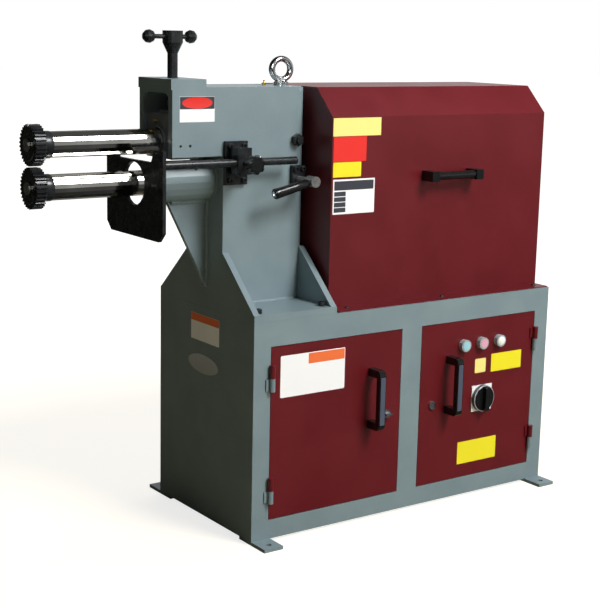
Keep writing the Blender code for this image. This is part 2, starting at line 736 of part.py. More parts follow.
def door_barrels(axis_x, side):
    """Upper barrels of a door's two lift-off hinges, each with its leaf and a bore for the pin."""
    barrels = []
    bore_depth = HINGE_PIN_LENGTH + FIT
    for split in hinge_splits():
        start = (axis_x, HINGE_AXIS_Y, split + FIT)
        barrel = rods("Z", HINGE_RADIUS, HINGE_HALF_HEIGHT, [start], FEW_SIDES)
        join(barrel, hinge_leaf(axis_x, side, start[2], start[2] + HINGE_HALF_HEIGHT))
        mouth = (axis_x, HINGE_AXIS_Y, split + FIT - OVERRUN)
        barrels.append(cut(barrel, bores("Z", HINGE_PIN_RADIUS, bore_depth + OVERRUN, [mouth], FEW_SIDES)))
    return barrels


def frame_barrels(axis_x, side):
    """Lower barrels with the fixed pins that stand in the upper ones."""
    barrels = []
    for split in hinge_splits():
        start = (axis_x, HINGE_AXIS_Y, split - HINGE_HALF_HEIGHT)
        pin_top = HINGE_HALF_HEIGHT + HINGE_PIN_LENGTH - FIT
        profile = [
            (0, pin_top),
            (HINGE_PIN_RADIUS, pin_top),
            (HINGE_PIN_RADIUS, HINGE_HALF_HEIGHT),
            (HINGE_RADIUS, HINGE_HALF_HEIGHT),
            (HINGE_RADIUS, 0),
            (0, 0),
        ]
        barrel = turned("Z", start, profile, sides=FEW_SIDES)
        barrels.append(join(barrel, hinge_leaf(axis_x, side, start[2], split)))
    return barrels


def make_door_handle(name, x, parent):
    base_y = FRONT - FIT
    face_y = base_y - HANDLE_REACH
    middle_z = LOCK_Z + HANDLE_RISE
    low = middle_z - HANDLE_LENGTH / 2
    high = middle_z + HANDLE_LENGTH / 2
    turn = math.pi / 2
    corner = HANDLE_ROUND
    outline = [(base_y, low)]
    outline += arc((face_y + corner, low + corner), corner, -turn, -turn * 2, 5)
    outline += arc((face_y + corner, high - corner), corner, turn * 2, turn, 5)
    outline += [(base_y, high), (base_y, high - HANDLE_LEG)]
    inner_y = face_y + HANDLE_BAR
    outline += [(inner_y, high - HANDLE_LEG), (inner_y, low + HANDLE_LEG), (base_y, low + HANDLE_LEG)]
    half = HANDLE_WIDTH / 2
    handle = plate("YZ", x - half, x + half, outline)
    piece(handle, name, "black_plastic", parent)


def make_lock(name, x, parent, winged):
    """Quarter-turn lock: face, barrel through the door and a cam that hangs down when it is unlocked."""
    start = (x, FRONT + DOOR_RETURN + DOOR_GAP * 2, LOCK_Z)
    reach = start[1] - FRONT
    face = reach + FIT
    profile = [
        (0, face + LOCK_FACE_THICKNESS),
        (LOCK_FACE_RADIUS, face + LOCK_FACE_THICKNESS),
        (LOCK_FACE_RADIUS, face),
        (LOCK_BARREL_RADIUS, face),
        (LOCK_BARREL_RADIUS, -CAM_THICKNESS / 2),
        (0, -CAM_THICKNESS / 2),
    ]
    lock = turned("-Y", start, profile, sides=FEW_SIDES)
    half = CAM_WIDTH / 2
    cam = rectangle((x - half, LOCK_Z + half - CAM_LENGTH), (x + half, LOCK_Z + half))
    join(lock, plate("XZ", start[1], start[1] + CAM_THICKNESS, cam))
    if winged:
        outer = FRONT - FIT - LOCK_FACE_THICKNESS
        length = WING_LENGTH / 2
        width = WING_WIDTH / 2
        low = (x - length, outer - WING_REACH, LOCK_Z - width)
        join(lock, box(low, (x + length, outer + LOCK_FACE_THICKNESS / 2, LOCK_Z + width)))
    piece(lock, name, "chrome", parent)


def make_bezel(name, x):
    start_y = FRONT + BEZEL_NECK_LENGTH
    face = BEZEL_NECK_LENGTH + FIT
    far = face + BEZEL_REACH
    profile = [
        (BEZEL_RADIUS, far),
        (BEZEL_RADIUS, face),
        (BEZEL_NECK_RADIUS, face),
        (BEZEL_NECK_RADIUS, 0),
        (BEZEL_NECK_BORE_RADIUS, 0),
        (BEZEL_NECK_BORE_RADIUS, face + BEZEL_FLOOR),
        (BEZEL_BORE_RADIUS, face + BEZEL_FLOOR),
        (BEZEL_BORE_RADIUS, far),
    ]
    bezel = turned("-Y", (x, start_y, BUTTON_Z), profile, True, FEW_SIDES)
    piece(bezel, name, "bright_steel", RIGHT_DOOR_AXIS)


def make_cap(name, x, finish, parent, dome):
    """A cap in its bezel, with a stem through the neck towards the contact block."""
    back = FRONT + BEZEL_NECK_LENGTH - BUTTON_TRAVEL
    top = back - FRONT + BEZEL_REACH + CAP_PROUD
    radius = BEZEL_BORE_RADIUS - FIT
    profile = [
        (0, top + dome),
        (radius / 2, top + dome * DOME_SHARE),
        (radius, top),
        (radius, top - CAP_THICKNESS),
        (BEZEL_NECK_BORE_RADIUS - FIT, top - CAP_THICKNESS),
        (BEZEL_NECK_BORE_RADIUS - FIT, 0),
        (0, 0),
    ]
    cap = turned("-Y", (x, back, BUTTON_Z), profile, sides=FEW_SIDES)
    piece(cap, name, finish, parent)


def make_contact_block(name, x):
    near = FRONT + BEZEL_NECK_LENGTH + FIT
    half = CONTACT_WIDTH / 2
    rise = CONTACT_HEIGHT / 2
    block = box((x - half, near, BUTTON_Z - rise), (x + half, near + CONTACT_DEPTH, BUTTON_Z + rise))
    piece(block, name, "black_plastic", RIGHT_DOOR_AXIS)


def make_isolator_switch():
    side = ISOLATOR_BODY_SIDE / 2
    near = FRONT + DOOR_SHEET + FIT
    low = (ISOLATOR_X - side, near, ISOLATOR_Z - side)
    high = (ISOLATOR_X + side, near + ISOLATOR_BODY_DEPTH, ISOLATOR_Z + side)
    start = (ISOLATOR_X, near - OVERRUN, ISOLATOR_Z)
    depth = ISOLATOR_BODY_DEPTH / 2 + OVERRUN
    body = cut(box(low, high), bores("Y", ISOLATOR_SHAFT_RADIUS, depth, [start], FEW_SIDES))
    piece(body, "isolator_switch", "black_plastic", RIGHT_DOOR_AXIS)


def make_isolator():
    half = ISOLATOR_PLATE_SIDE / 2
    far = FRONT - FIT
    near = far - ISOLATOR_PLATE_THICKNESS
    square = rectangle((ISOLATOR_X - half, ISOLATOR_Z - half), (ISOLATOR_X + half, ISOLATOR_Z + half))
    hole = hole_loop((ISOLATOR_X, ISOLATOR_Z), ISOLATOR_SHAFT_RADIUS, FEW_SIDES)
    piece(plate("XZ", near, far, square, hole), "isolator_plate", "bright_steel", RIGHT_DOOR_AXIS)
    shaft = ISOLATOR_BODY_DEPTH / 2 - FIT
    start = (ISOLATOR_X, FRONT + DOOR_SHEET + shaft, ISOLATOR_Z)
    face = start[1] - near + FIT
    rim = ISOLATOR_KNOB_RADIUS - ISOLATOR_KNOB_TAPER
    profile = [
        (0, face + ISOLATOR_KNOB_DEPTH),
        (rim, face + ISOLATOR_KNOB_DEPTH),
        (ISOLATOR_KNOB_RADIUS, face),
        (ISOLATOR_SHAFT_RADIUS, face),
        (ISOLATOR_SHAFT_RADIUS, 0),
        (0, 0),
    ]
    knob = turned("-Y", start, profile)
    width = ISOLATOR_GRIP_WIDTH / 2
    length = ISOLATOR_GRIP_LENGTH / 2
    root = near - ISOLATOR_KNOB_DEPTH / 2
    tip = near - FIT - ISOLATOR_KNOB_DEPTH - ISOLATOR_GRIP_DEPTH
    grip = box((ISOLATOR_X - width, tip, ISOLATOR_Z - length), (ISOLATOR_X + width, root, ISOLATOR_Z + length))
    piece(join(knob, grip), "isolator_knob", "black_plastic", ISOLATOR_AXIS)


def make_electrics():
    middle_x = RIGHT_OPENING + DOOR_WIDTH / 2
    middle_z = (DOOR_BOTTOM + DOOR_TOP) / 2
    wall = BACK - CABINET_SHEET - FIT
    back = wall - PANEL_STANDOFF
    front = back - PANEL_SHEET
    low = (middle_x - PANEL_WIDTH / 2, middle_z - PANEL_HEIGHT / 2)
    high = (middle_x + PANEL_WIDTH / 2, middle_z + PANEL_HEIGHT / 2)
    panel = plate("XZ", front, back, rectangle(low, high))
    inset = PANEL_POST_INSET
    starts = [(x, wall, z) for x in (low[0] + inset, high[0] - inset) for z in (low[1] + inset, high[1] - inset)]
    join(panel, rods("-Y", PANEL_POST_RADIUS, PANEL_STANDOFF + PANEL_SHEET / 2, starts, FEW_SIDES))
    piece(panel, "electrical_panel", "bright_steel", ROOT)

    face = front - FIT
    left = low[0] + inset * 2
    top = high[1] - inset * 2
    outline = [
        (face, top - CONTACTOR_HEIGHT),
        (face, top),
        (face - CONTACTOR_DEPTH + CONTACTOR_STEP, top),
        (face - CONTACTOR_DEPTH + CONTACTOR_STEP, top - CONTACTOR_STEP),
        (face - CONTACTOR_DEPTH, top - CONTACTOR_STEP),
        (face - CONTACTOR_DEPTH, top - CONTACTOR_HEIGHT + CONTACTOR_STEP),
        (face - CONTACTOR_DEPTH + CONTACTOR_STEP, top - CONTACTOR_HEIGHT + CONTACTOR_STEP),
        (face - CONTACTOR_DEPTH + CONTACTOR_STEP, top - CONTACTOR_HEIGHT),
    ]
    piece(plate("YZ", left, left + CONTACTOR_WIDTH, outline), "contactor", "grey_plastic", ROOT)

    right = high[0] - inset * 2
    bottom = low[1] + inset * 2
    core_low = (right - TRANSFORMER_WIDTH, face - TRANSFORMER_DEPTH, bottom)
    core = box(core_low, (right, face, bottom + TRANSFORMER_HEIGHT))
    centre = right - TRANSFORMER_WIDTH / 2
    coil = TRANSFORMER_COIL_WIDTH / 2
    bulge = TRANSFORMER_COIL_BULGE
    coil_low = (centre - coil, face - TRANSFORMER_DEPTH - bulge, bottom + bulge)
    coil_high = (centre + coil, face - bulge, bottom + TRANSFORMER_HEIGHT - bulge)
    piece(join(core, box(coil_low, coil_high)), "transformer", "cast_iron", ROOT)


def flare_outline():
    """Outline across the machine of an end plate that spreads from the column to the base plate's edges."""
    floor = (BASE_BOTTOM + BASE_TOP) / 2
    top = BASE_BOTTOM + FLARE_HEIGHT
    foot = BACK - FLARE_INSET
    side = [(foot, floor), (foot, BASE_TOP), (HALF_DEPTH, top)]
    return side + [(-y, z) for y, z in reversed(side)]


def column_block():
    """Outer form of column and head, with the column's two far upright edges rounded."""
    floor = (BASE_BOTTOM + BASE_TOP) / 2
    outline = [
        (0, floor),
        (COLUMN_LENGTH, floor),
        (COLUMN_LENGTH, COLUMN_TOP),
        (-HEAD_OVERHANG, COLUMN_TOP),
        (-HEAD_OVERHANG, HEAD_BOTTOM),
        (0, HEAD_BOTTOM),
    ]
    block = plate("XZ", -HALF_DEPTH, HALF_DEPTH, outline)
    bm = bmesh.new()
    bm.from_mesh(block.data)
    limit = COLUMN_LENGTH - COLUMN_CORNER_RADIUS
    far_edges = []
    for edge in bm.edges:
        ends = [block.matrix_basis @ vert.co for vert in edge.verts]
        upright = abs(ends[0].z - ends[1].z) > COLUMN_HEIGHT / 2
        if upright and min(end.x for end in ends) > limit:
            far_edges.append(edge)
    bmesh.ops.bevel(
        bm,
        geom=far_edges,
        offset=COLUMN_CORNER_RADIUS,
        segments=4,
        profile=ROUND_SHARE,
        affect="EDGES",
        clamp_overlap=False,
    )
    bm.to_mesh(block.data)
    bm.free()
    return block


def window_outline():
    half = INNER_HALF - END_PLATE_RIM
    top = COLUMN_TOP - HEAD_ROOF - END_PLATE_RIM
    low = HEAD_BOTTOM - OVERRUN
    corner = WINDOW_CORNER_RADIUS
    turn = math.pi / 2
    outline = [(-half, low), (half, low)]
    outline += arc((half - corner, top - corner), corner, 0, turn, 5)
    outline += arc((corner - half, top - corner), corner, turn, turn * 2, 5)
    return outline


def clamp_screw_places():
    left = CLAMP_SCREW_INSET
    right = CLAMP_PLATE_LENGTH - CLAMP_SCREW_INSET
    low = LOWER_AXIS - CLAMP_PLATE_BELOW + CLAMP_SCREW_INSET
    high = LOWER_AXIS + CLAMP_PLATE_ABOVE - CLAMP_SCREW_INSET
    face = -HALF_DEPTH - FIT * 2 - CLAMP_PLATE_THICKNESS
    return [(x, face, z) for x in (left, right) for z in (low, high)]


def lever_screw_places():
    half = LEVER_BRACKET_LENGTH / 2 - LEVER_SCREW_INSET
    level = LOWER_AXIS + LEVER_BRACKET_ABOVE - LEVER_SCREW_INSET
    face = -HALF_DEPTH - FIT * 2 - CLAMP_PLATE_THICKNESS
    return [(LEVER_PLACE + side * half, face, level) for side in (-1, 1)]


def bracket_screw_holes():
    depth = CLAMP_PLATE_THICKNESS + BRACKET_SCREW_GRIP
    places = clamp_screw_places() + lever_screw_places()
    return bores("Y", BRACKET_SCREW_RADIUS, depth, places, SCREW_HOLE_SIDES)


def make_frame_weldment():
    frame = column_block()
    base = box((0, FRONT, BASE_BOTTOM), (COLUMN_LENGTH, BACK, BASE_TOP))
    join(frame, base)
    flare = flare_outline()
    join(frame, plate("YZ", 0, PLATE, flare), plate("YZ", REAR_WALL_X, COLUMN_LENGTH, flare))
    pad_left = -HEAD_OVERHANG - PAD_LEFT_REACH
    pad_low = (pad_left, -HALF_DEPTH, COLUMN_TOP - HEAD_ROOF / 2)
    join(frame, box(pad_low, (pad_left + PAD_LENGTH, HALF_DEPTH, PAD_TOP)))
    housing_bottom = LOWER_AXIS - HOUSING_RADIUS - FIT
    triangle = [
        (-GUSSET_REACH, housing_bottom),
        (PLATE / 2, housing_bottom),
        (PLATE / 2, BASE_TOP + GUSSET_FOOT),
        (0, BASE_TOP + GUSSET_FOOT),
    ]
    join(frame, plate("XZ", -GUSSET_THICKNESS / 2, GUSSET_THICKNESS / 2, triangle))

    ceiling = COLUMN_TOP - HEAD_ROOF
    head_left = END_PLATE - HEAD_OVERHANG
    left_plate_top = COLUMN_TOP - LEFT_PLATE_DROP
    hollow = [
        (head_left, left_plate_top),
        (PLATE, left_plate_top),
        (PLATE, BASE_TOP),
        (REAR_WALL_X, BASE_TOP),
        (REAR_WALL_X, ceiling),
        (head_left, ceiling),
    ]
    cut(frame, plate("XZ", -INNER_HALF, INNER_HALF, hollow))
    cut(frame, plate("YZ", -HEAD_OVERHANG - OVERRUN, head_left + OVERRUN, window_outline()))

    wall_span = PLATE + OVERRUN * 2
    cut(frame, bores("X", HOUSING_SPIGOT_RADIUS, wall_span, [(-OVERRUN, 0, LOWER_AXIS)]))
    cut(frame, bores("X", REAR_BUSH_RADIUS, wall_span, [(REAR_WALL_X - OVERRUN, 0, LOWER_AXIS)]))
    stack = HEAD_ROOF + PAD_THICKNESS + OVERRUN * 2
    cut(frame, bores("Z", SCREW_RADIUS, stack, [(BLOCK_X, 0, ceiling - OVERRUN)], FEW_SIDES))
    across = HEAD_DEPTH + OVERRUN * 2
    cut(frame, bores("Y", STUD_RADIUS, across, [(PIVOT_PLACE, -HALF_DEPTH - OVERRUN, UPPER_AXIS)], FEW_SIDES))
    spindle_start = (LEVER_PLACE, -HALF_DEPTH - OVERRUN, LOWER_AXIS)
    cut(frame, bores("Y", LEVER_SPINDLE_RADIUS, wall_span, [spindle_start], FEW_SIDES))
    eye_start = (EYE_PLACE, 0, ceiling - OVERRUN)
    cut(frame, bores("Z", EYE_SHANK_RADIUS, HEAD_ROOF + OVERRUN * 2, [eye_start], FEW_SIDES))
    sight_z = UPPER_AXIS - SIGHT_HOLE_HEIGHT
    sights = [(x, -HALF_DEPTH - OVERRUN, sight_z) for x in SIGHT_HOLE_PLACES]
    cut(frame, rods("Y", SIGHT_HOLE_RADIUS, wall_span, sights, FEW_SIDES))
    bolt_depth = BASE_THICKNESS + OVERRUN * 2
    cut(frame, bores("-Z", BASE_BOLT_RADIUS, bolt_depth, base_bolt_places(), FEW_SIDES))
    cut(frame, bracket_screw_holes())
    piece(frame, "frame_weldment", "grey_green_paint", ROOT)


def make_lower_housing():
    profile = [
        (HOUSING_SPIGOT_RADIUS, HEAD_OVERHANG + PLATE),
        (HOUSING_SPIGOT_RADIUS, HEAD_OVERHANG - FIT),
        (HOUSING_RADIUS, HEAD_OVERHANG - FIT),
        (HOUSING_RADIUS, 0),
        (BUSH_RADIUS + FIT, 0),
        (BUSH_RADIUS + FIT, HEAD_OVERHANG + PLATE),
    ]
    housing = turned("X", (-HEAD_OVERHANG, 0, LOWER_AXIS), profile, True)
    piece(housing, "lower_shaft_housing", "grey_green_paint", ROOT)


def make_bush(name, near, length, axis_z, outer, inner, parent):
    """Plain bronze bush along X, with the running clearance over the shaft that turns in it."""
    bush = turned("X", (near, 0, axis_z), ring_profile(outer, roomy(inner + RUNNING), 0, length), True)
    piece(bush, name, "bronze", parent)


def make_lower_bushes():
    front = -HEAD_OVERHANG
    middle = PLATE - MIDDLE_BUSH_LENGTH
    make_bush("lower_front_bush", front, FRONT_BUSH_LENGTH, LOWER_AXIS, BUSH_RADIUS, JOURNAL_RADIUS, ROOT)
    make_bush("lower_middle_bush", middle, MIDDLE_BUSH_LENGTH, LOWER_AXIS, BUSH_RADIUS, JOURNAL_RADIUS, ROOT)
    make_bush("lower_rear_bush", REAR_WALL_X, PLATE, LOWER_AXIS, REAR_BUSH_RADIUS, TAIL_RADIUS, ROOT)


def spigot_end():
    """The nose end of a shaft, as distances from the shaft's nose shoulder towards the head."""
    tip = -(DIE_HUB_LENGTH + DIE_RIM_WIDTH)
    hole_end = tip + DIE_SCREW_SHANK_LENGTH + FIT
    hole = DIE_SCREW_SHANK_RADIUS + FIT
    return [(SPIGOT_RADIUS, 0), (SPIGOT_RADIUS, tip), (hole, tip), (hole, hole_end), (0, hole_end)]


def make_lower_shaft():
    neck = -HEAD_OVERHANG - SHOULDER_GAP - NOSE_X
    tail = GEAR_PLACE + GEAR_WIDTH / 2 - NOSE_X
    ring_near = LEVER_PLACE - RING_WIDTH / 2 - FIT - NOSE_X
    ring_far = LEVER_PLACE + RING_WIDTH / 2 + FIT - NOSE_X
    end = DRIVEN_HUB_END - COLLAR_WIDTH - FIT - NOSE_X
    profile = [
        (0, end),
        (TAIL_RADIUS, end),
        (TAIL_RADIUS, ring_far + COLLAR_WIDTH),
        (COLLAR_RADIUS, ring_far + COLLAR_WIDTH),
        (COLLAR_RADIUS, ring_far),
        (TAIL_RADIUS, ring_far),
        (TAIL_RADIUS, ring_near),
        (COLLAR_RADIUS, ring_near),
        (COLLAR_RADIUS, ring_near - COLLAR_WIDTH),
        (TAIL_RADIUS, ring_near - COLLAR_WIDTH),
        (TAIL_RADIUS, tail),
        (JOURNAL_RADIUS, tail),
        (JOURNAL_RADIUS, neck),
        (SHAFT_RADIUS, neck),
        (SHAFT_RADIUS, 0),
    ]
    shaft = turned("X", (NOSE_X, 0, LOWER_AXIS), profile + spigot_end())
    piece(shaft, "lower_shaft", "bright_steel", LOWER_SPIN)


def make_upper_shaft():
    neck = BLOCK_X - BALL_HALF_LENGTH - SHOULDER_GAP - NOSE_X
    tail = PIVOT_PLACE - TRUNNION_HALF_LENGTH - SHOULDER_GAP - NOSE_X
    end = PIVOT_PLACE + TRUNNION_HALF_LENGTH - NOSE_X
    profile = [
        (0, end),
        (TAIL_RADIUS, end),
        (TAIL_RADIUS, tail),
        (JOURNAL_RADIUS, tail),
        (JOURNAL_RADIUS, neck),
        (SHAFT_RADIUS, neck),
        (SHAFT_RADIUS, 0),
    ]
    shaft = turned("X", (NOSE_X, 0, UPPER_AXIS), profile + spigot_end())
    piece(shaft, "upper_shaft", "bright_steel", UPPER_SPIN)


def die_rim_outline(axis_z):
    """V teeth round the rim, with one tooth at the top and bottom."""
    points = []
    for step in range(DIE_TEETH * 2):
        angle = math.pi / 2 + math.pi * step / DIE_TEETH
        radius = DIE_RIM_RADIUS - (DIE_TOOTH_DEPTH if step % 2 else 0)
        points.append((radius * math.cos(angle), axis_z + radius * math.sin(angle)))
    return points


def make_die(name, axis_z, parent):
    hub_right = NOSE_X - FIT
    rim_right = hub_right - DIE_HUB_LENGTH
    rim_left = rim_right - DIE_RIM_WIDTH + FIT
    die = plate("YZ", rim_left, rim_right, die_rim_outline(axis_z))
    hub_length = DIE_HUB_LENGTH + DIE_RIM_WIDTH / 2
    join(die, rods("-X", DIE_HUB_RADIUS, hub_length, [(hub_right, 0, axis_z)]))
    bore_length = DIE_HUB_LENGTH + DIE_RIM_WIDTH + OVERRUN * 2
    cut(die, bores("-X", SPIGOT_RADIUS, bore_length, [(hub_right + OVERRUN, 0, axis_z)], FEW_SIDES))
    piece(die, name, "black_steel", parent)


def make_die_screw(name, axis_z, parent):
    start_x = NOSE_X - DIE_HUB_LENGTH - DIE_RIM_WIDTH + DIE_SCREW_SHANK_LENGTH
    head = DIE_SCREW_SHANK_LENGTH + FIT
    profile = [
        (0, head + DIE_SCREW_HEAD),
        (DIE_SCREW_RADIUS, head + DIE_SCREW_HEAD),
        (DIE_SCREW_RADIUS, head),
        (DIE_SCREW_SHANK_RADIUS, head),
        (DIE_SCREW_SHANK_RADIUS, 0),
        (0, 0),
    ]
    screw = turned("-X", (start_x, 0, axis_z), profile, sides=FEW_SIDES)
    face = start_x - head - DIE_SCREW_HEAD
    half = DIE_SCREW_SLOT_WIDTH / 2
    reach = DIE_SCREW_RADIUS + OVERRUN
    low = (face - OVERRUN, -half, axis_z - reach)
    cut(screw, box(low, (face + DIE_SCREW_SLOT_DEPTH, half, axis_z + reach)))
    piece(screw, name, "black_steel", parent)


def involute(angle):
    return math.tan(angle) - angle


def gear_outline(axis_z, first_tooth):
    """Teeth with straight flanks between the involute's first and last points, on the root circle."""
    pitch = SHAFT_CENTRES / 2
    module = SHAFT_CENTRES / GEAR_TEETH
    base = pitch * math.cos(PRESSURE_ANGLE)
    tip = pitch + module - GEAR_BACKLASH
    root = pitch - module * DEDENDUM_SHARE
    half_at_pitch = math.pi / 2 / GEAR_TEETH - GEAR_BACKLASH / 2 / pitch
    flank = []
    for radius in (base, tip):
        half_angle = half_at_pitch + involute(PRESSURE_ANGLE) - involute(math.acos(base / radius))
        flank.append((radius, half_angle))
    flank.insert(0, (root, flank[0][1]))
    points = []
    for tooth in range(GEAR_TEETH):
        middle = first_tooth + math.tau * tooth / GEAR_TEETH
        sides = [(radius, middle - half) for radius, half in flank]
        sides += [(radius, middle + half) for radius, half in reversed(flank)]
        points += [(r * math.cos(a), axis_z + r * math.sin(a)) for r, a in sides]
    return points


def make_gear(name, axis_z, first_tooth, parent):
    bore = hole_loop((0, axis_z), JOURNAL_RADIUS)
    near = GEAR_PLACE - GEAR_WIDTH / 2
    far = GEAR_PLACE + GEAR_WIDTH / 2 - FIT
    gear = plate("YZ", near, far, gear_outline(axis_z, first_tooth), bore)
    piece(gear, name, "bright_steel", parent)


def make_bearing_block():
    low = (BLOCK_X - BLOCK_LENGTH / 2, -BLOCK_HALF, UPPER_AXIS - BLOCK_BELOW_AXIS)
    block = box(low, (BLOCK_X + BLOCK_LENGTH / 2, BLOCK_HALF, BLOCK_TOP))
    half = BLOCK_LENGTH / 2
    join(block, rods("-X", BOSS_RADIUS, half + BOSS_LENGTH, [(BLOCK_X, 0, UPPER_AXIS)]))
    radius = BALL_RADIUS + BALL_CLEARANCE
    mouth = math.acos(BLOCK_BORE_RADIUS / radius)
    seat = arc((0, 0), radius, mouth, -mouth, 4)
    reach = half + BOSS_LENGTH + OVERRUN
    bore = [(0, reach), (BLOCK_BORE_RADIUS, reach)] + seat + [(BLOCK_BORE_RADIUS, -reach), (0, -reach)]
    cut(block, turned("X", (BLOCK_X, 0, UPPER_AXIS), bore))
    hole_depth = SCREW_COLLAR + FIT + OVERRUN
    cut(block, bores("-Z", SCREW_RADIUS, hole_depth, [(BLOCK_X, 0, BLOCK_TOP + OVERRUN)], FEW_SIDES))
    piece(block, "bearing_block", "cast_iron", BLOCK_AXIS)


def make_swivel_bush():
    """Ball-shaped bush that tilts in the bearing block with the upper shaft."""
    inner = roomy(JOURNAL_RADIUS + RUNNING)
    edge = math.asin(BALL_HALF_LENGTH / BALL_RADIUS)
    steps = [edge * n / 2 for n in range(2, -3, -1)]
    outer = [(BALL_RADIUS * math.cos(a), BALL_RADIUS * math.sin(a)) for a in steps]
    profile = outer + [(inner, -BALL_HALF_LENGTH), (inner, BALL_HALF_LENGTH)]
    piece(turned("X", (BLOCK_X, 0, UPPER_AXIS), profile, True), "swivel_bush", "bronze", TILT_AXIS)


def make_screw_retainer():
    half = RETAINER_SIDE / 2
    low = BLOCK_TOP + FIT
    square = rectangle((BLOCK_X - half, -half), (BLOCK_X + half, half))
    hole = hole_loop((BLOCK_X, 0), SCREW_NECK_RADIUS, FEW_SIDES)
    retainer = plate("XY", low, low + RETAINER_THICKNESS, square, hole)
    piece(retainer, "screw_retainer", "cast_iron", BLOCK_AXIS)


def make_adjusting_screw():
    start = (BLOCK_X, 0, BLOCK_TOP - SCREW_COLLAR)
    neck_top = SCREW_COLLAR + RETAINER_THICKNESS + FIT * 2
    cone = PAD_TOP + SCREW_ABOVE_PAD - start[2]
    hub = cone + SCREW_CONE
    top = hub + SCREW_HUB_HEIGHT
    profile = [
        (0, top),
        (SCREW_HUB_RADIUS, top),
        (SCREW_HUB_RADIUS, hub),
        (SCREW_RADIUS, cone),
        (SCREW_RADIUS, neck_top),
        (SCREW_NECK_RADIUS, neck_top),
        (SCREW_NECK_RADIUS, SCREW_COLLAR),
        (SCREW_RADIUS, SCREW_COLLAR),
        (SCREW_RADIUS, 0),
        (0, 0),
    ]
    screw = turned("Z", start, profile)
    reach = SCREW_HUB_RADIUS + OVERRUN
    cross = bores("X", TOMMY_RADIUS, reach * 2, [(BLOCK_X - reach, 0, TOMMY_Z)], FEW_SIDES)
    piece(cut(screw, cross), "adjusting_screw", "black_steel", SCREW_AXIS)


def make_tommy_bar():
    half = TOMMY_CENTRES / 2
    neck = math.asin(TOMMY_RADIUS / TOMMY_BALL_RADIUS)
    ball = [(TOMMY_BALL_RADIUS * math.sin(a), TOMMY_BALL_RADIUS * math.cos(a))
            for a in [(math.pi - neck) * n / 5 for n in range(6)]]
    upper = [(radius, half + height) for radius, height in ball]
    lower = [(radius, -half - height) for radius, height in reversed(ball)]
    upper[0] = (0, half + TOMMY_BALL_RADIUS)
    lower[-1] = (0, -half - TOMMY_BALL_RADIUS)
    bar = turned("X", (BLOCK_X + TOMMY_OFFSET, 0, TOMMY_Z), upper + lower, sides=16)
    piece(bar, "tommy_bar", "black_steel", TOMMY_AXIS)


def make_trunnion():
    half = TRUNNION_HALF_LENGTH
    rise = TRUNNION_HALF_HEIGHT
    low = (PIVOT_PLACE - half, -BLOCK_HALF, UPPER_AXIS - rise)
    housing = box(low, (PIVOT_PLACE + half, BLOCK_HALF, UPPER_AXIS + rise))
    start = (low[0] - OVERRUN, 0, UPPER_AXIS)
    cut(housing, bores("X", TRUNNION_BUSH_RADIUS, half * 2 + OVERRUN * 2, [start]))
    depth = STUD_DEPTH + FIT + OVERRUN
    for axis, side in (("Y", -1), ("-Y", 1)):
        mouth = (PIVOT_PLACE, side * (BLOCK_HALF + OVERRUN), UPPER_AXIS)
        cut(housing, bores(axis, STUD_RADIUS, depth, [mouth], FEW_SIDES))
    piece(housing, "rear_trunnion_housing", "cast_iron", TILT_AXIS)
    radius = TRUNNION_BUSH_RADIUS
    make_bush("rear_trunnion_bush", PIVOT_PLACE - half, half * 2, UPPER_AXIS, radius, TAIL_RADIUS, TILT_AXIS)


def make_trunnion_stud(name, axis, side):
    """Pivot stud with its hex nut, through the column's front or back plate."""
    inner = (PIVOT_PLACE, side * (BLOCK_HALF - STUD_DEPTH), UPPER_AXIS)
    face = HALF_DEPTH + FIT
    length = face - abs(inner[1]) + NUT_THICKNESS + STUD_END
    stud = rods(axis, STUD_RADIUS, length, [inner], FEW_SIDES)
    corner = NUT_FLATS / 2 / math.cos(math.pi / 6)
    join(stud, rods(axis, corner, NUT_THICKNESS, [(PIVOT_PLACE, side * face, UPPER_AXIS)], 6))
    piece(stud, name, "black_steel", ROOT)


def make_eye_bolt():
    seat = COLUMN_TOP + FIT
    centre = seat + EYE_COLLAR_HEIGHT + EYE_RING_RADIUS + EYE_WIRE_RADIUS - EYE_LET_IN
    wire = [(r, h) for r, h in arc((EYE_RING_RADIUS, 0), EYE_WIRE_RADIUS, math.tau, 0, 8)[:-1]]
    eye = turned("Y", (EYE_PLACE, 0, centre), wire, True)
    profile = [
        (0, EYE_COLLAR_HEIGHT),
        (EYE_WIRE_RADIUS, EYE_COLLAR_HEIGHT),
        (EYE_COLLAR_RADIUS, EYE_COLLAR_HEIGHT / 2),
        (EYE_COLLAR_RADIUS, 0),
        (EYE_SHANK_RADIUS, 0),
        (EYE_SHANK_RADIUS, -HEAD_ROOF),
        (0, -HEAD_ROOF),
    ]
    join(eye, turned("Z", (EYE_PLACE, 0, seat), profile, sides=FEW_SIDES))
    piece(eye, "eye_bolt", "chrome", ROOT)


def make_gauge_plate():
    right = -GAUGE_PLACE
    half = GAUGE_HALF_WIDTH
    low = LOWER_AXIS - GAUGE_BELOW_AXIS
    ear_top = LOWER_AXIS + GAUGE_EAR_HEIGHT
    notch = LOWER_AXIS + GAUGE_NOTCH_HEIGHT
    inner = half - GAUGE_EAR_WIDTH
    corner = GAUGE_CHAMFER
    side = [(half - corner, low), (half, low + corner), (half, ear_top), (inner, ear_top)]
    side.append((inner - GAUGE_NOTCH_SLANT, notch))
    outline = side + [(-y, z) for y, z in reversed(side)]
    holes = [circle((0, LOWER_AXIS), GAUGE_HOLE_RADIUS), hole_loop((ROD_Y, ROD_Z), ROD_SPIGOT_RADIUS, FEW_SIDES)]
    gauge = plate("YZ", right - GAUGE_THICKNESS, right, outline, *holes)
    piece(gauge, "gauge_plate", "black_steel", GAUGE_AXIS)


